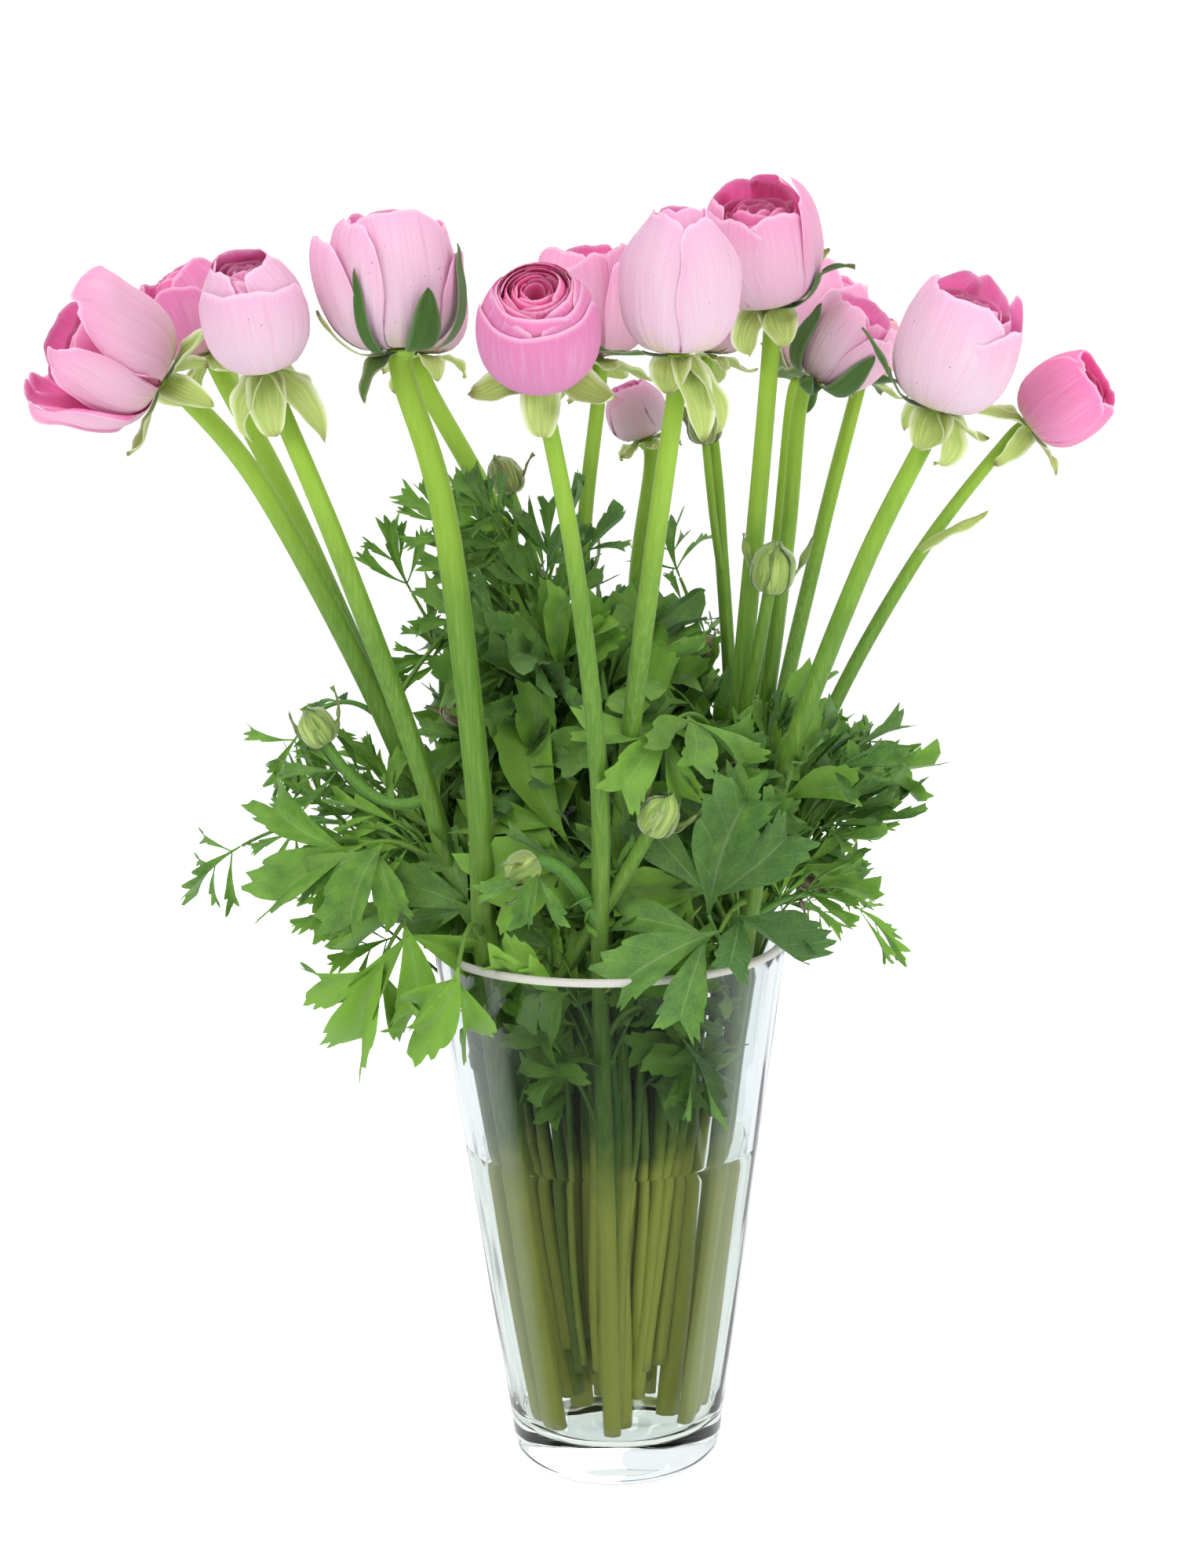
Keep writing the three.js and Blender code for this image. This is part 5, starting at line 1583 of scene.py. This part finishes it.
@dataclass
class Studio:
    """White seamless paper, a white room that darkens to the sides, soft lamps and the camera."""

    width_px: int = 1500
    height_px: int = 1999
    focal_px: float = 3200.0
    sensor: float = 36.0
    distance: float = 1032.0
    eye_height: float = 487.0
    pitch: float = 10.55
    yaw: float = 0.43
    roll: float = -1.0
    daylight: float = 0.76  # how strongly the room lights whatever scatters its light
    mirrored: float = 0.12  # how bright the room is in a reflection; the real one is dark around the camera
    behind: float = 1.05  # how bright the backdrop is through the glass

    def camera(self) -> None:
        """The photograph's viewpoint: in front, a little above the flowers, looking slightly down."""
        pitch, yaw, roll = (math.radians(v) for v in (self.pitch, self.yaw, self.roll))
        ahead = np.array([-math.sin(yaw) * math.cos(pitch), math.cos(yaw) * math.cos(pitch),
                          -math.sin(pitch)])
        right = np.array([math.cos(yaw), math.sin(yaw), 0.0])
        above = np.cross(right, ahead)
        across = math.cos(roll) * right + math.sin(roll) * above
        upward = -math.sin(roll) * right + math.cos(roll) * above
        data = bpy.data.cameras.new("viewpoint")
        data.sensor_fit, data.sensor_width = "AUTO", self.sensor
        data.lens = self.focal_px * self.sensor / self.height_px
        data.clip_start, data.clip_end = 0.05, 50.0
        eye = bpy.data.objects.new("viewpoint", data)
        turn = np.column_stack([across, upward, -ahead])
        place = Matrix(turn.tolist()).to_4x4()
        place.translation = (0.0, -self.distance * MM, self.eye_height * MM)
        eye.matrix_world = place
        bpy.context.scene.collection.objects.link(eye)
        bpy.context.scene.camera = eye

    def room(self) -> None:
        """The room's own light.

        The camera sees pure white. Whatever scatters light gets it from a room that is brightest
        above and greyer to the sides. Clear glass shows a white backdrop, but what it mirrors of
        the table in front is dim.
        """
        world = bpy.data.worlds.new("white_room")
        world.use_nodes = True
        tree = world.node_tree
        tree.nodes.clear()
        way = put(tree, "ShaderNodeTexCoord").outputs["Generated"]
        x, y, z = put(tree, "ShaderNodeSeparateXYZ", {0: way}).outputs
        wide = put(tree, "ShaderNodeMath", {0: x}, operation="ABSOLUTE").outputs[0]
        sides = put(tree, "ShaderNodeMapRange", {0: wide, 1: 0.45, 2: 0.95, 3: 1.0, 4: 0.8},
                    interpolation_type="SMOOTHSTEP").outputs[0]
        above = put(tree, "ShaderNodeMapRange", {0: z, 1: 0.1, 2: 0.9, 3: 0.0, 4: 0.9},
                    interpolation_type="SMOOTHSTEP").outputs[0]
        back = put(tree, "ShaderNodeMapRange", {0: y, 1: -0.75, 2: 0.1, 3: 0.95, 4: 1.0},
                   interpolation_type="SMOOTHSTEP").outputs[0]
        level = put(tree, "ShaderNodeMath", {0: sides, 1: back}, operation="MULTIPLY").outputs[0]
        glow = put(tree, "ShaderNodeMath", {0: level, 1: above}, operation="ADD").outputs[0]
        path = put(tree, "ShaderNodeLightPath").outputs
        # What the glass shows before anything scatters the light: white all round, but for the dim
        # strip of table in front that the wall would mirror over the stems.
        fresh = put(tree, "ShaderNodeMath", {0: path["Diffuse Depth"], 1: 0.5},
                    operation="LESS_THAN").outputs[0]
        clear = put(tree, "ShaderNodeMath", {0: fresh, 1: path["Is Singular Ray"]},
                    operation="MULTIPLY").outputs[0]
        view = put(tree, "ShaderNodeMapRange", {0: y, 1: -0.3, 2: 0.15, 3: self.mirrored, 4: self.behind},
                   interpolation_type="SMOOTHSTEP").outputs[0]
        # The strip is dim where z is from -0.72 to -0.52, and has faded out by -0.80 and -0.42.
        for dim, bright in ((-0.52, -0.42), (-0.72, -0.80)):
            view = put(tree, "ShaderNodeMapRange", {0: z, 1: dim, 2: bright, 3: view, 4: self.behind},
                       interpolation_type="SMOOTHSTEP").outputs[0]
        # Only light that has been mirrored is dimmed, so that what is seen straight through stays clear.
        mirrors = put(tree, "ShaderNodeMath", {0: path["Glossy Depth"], 1: 0.5},
                      operation="GREATER_THAN").outputs[0]
        view = put(tree, "ShaderNodeMix", {0: mirrors, 2: self.behind, 3: view}).outputs[0]
        room = put(tree, "ShaderNodeMath", {0: glow, 1: self.daylight}, operation="MULTIPLY").outputs[0]
        glow = put(tree, "ShaderNodeMix", {0: clear, 2: room, 3: view}).outputs[0]
        seen = path["Is Camera Ray"]
        light = put(tree, "ShaderNodeBackground", {
            "Color": (0.97, 0.985, 1.0, 1.0), "Strength": glow}).outputs[0]
        white = put(tree, "ShaderNodeBackground", {
            "Color": (1.0, 1.0, 1.0, 1.0), "Strength": 1.1}).outputs[0]
        mixed = put(tree, "ShaderNodeMixShader", {0: seen, 1: light, 2: white}).outputs[0]
        put(tree, "ShaderNodeOutputWorld", {0: mixed})
        bpy.context.scene.world = world
        bpy.context.scene.view_settings.view_transform = "Standard"

    def lamp(self, name: str, place: tuple[float, float, float], target: tuple[float, float, float],
             size: float, power: float, colour: str) -> None:
        """A soft square lamp of a side in metres, pointed at a target."""
        data = bpy.data.lights.new(name, "AREA")
        data.shape, data.size, data.energy, data.color = "SQUARE", size, power, tint(colour)[:3]
        lamp = bpy.data.objects.new(name, data)
        back = unit(np.array(place) - np.array(target))
        right = unit(np.cross(UP, back))
        turn = Matrix(np.column_stack([right, np.cross(back, right), back]).tolist()).to_4x4()
        turn.translation = place
        lamp.matrix_world = turn
        lamp.visible_camera = False
        lamp.visible_glossy = False
        bpy.context.scene.collection.objects.link(lamp)

    def floor(self) -> None:
        """A wide round sheet of white paper, 3 m across, just under the foot."""
        shell = Shell()
        angle = np.linspace(0.0, 2 * math.pi, 96, endpoint=False)[None]
        radius = np.array([[5.0], [400.0], [1500.0], [1500.0], [5.0]])
        height = np.array([[-0.1], [-0.1], [-0.1], [-4.0], [-4.0]])
        grid = np.stack([radius * np.cos(angle), radius * np.sin(angle), height + 0.0 * angle], axis=-1)[::-1]
        shell.ring(grid, traits_of(np.zeros(grid.shape[:2]), 0.0, 0.0, 0.0))
        paper = shell.made("paper_floor", [FloorFinish().material()])
        paper.visible_glossy = False
        paper.visible_transmission = False

    def build(self) -> None:
        """Sets up camera, room, floor and lamps."""
        self.camera()
        self.room()
        self.floor()
        self.lamp("key_lamp", (-0.9, -1.1, 1.4), (0.0, 0.0, 0.35), 0.9, 12.0, "#FFFFFF")
        self.lamp("fill_lamp", (1.1, -0.9, 0.7), (0.05, 0.0, 0.35), 0.8, 8.0, "#FFFFFF")
        self.lamp("back_lamp", (0.5, 1.2, 0.9), (0.0, 0.0, 0.4), 1.2, 10.0, "#FFFDF6")


def main() -> None:
    """Builds the studio and the bunch."""
    logging.basicConfig(level=logging.INFO, format="%(message)s")
    Studio().build()
    Bunch().build()


if __name__ == "__main__":
    main()
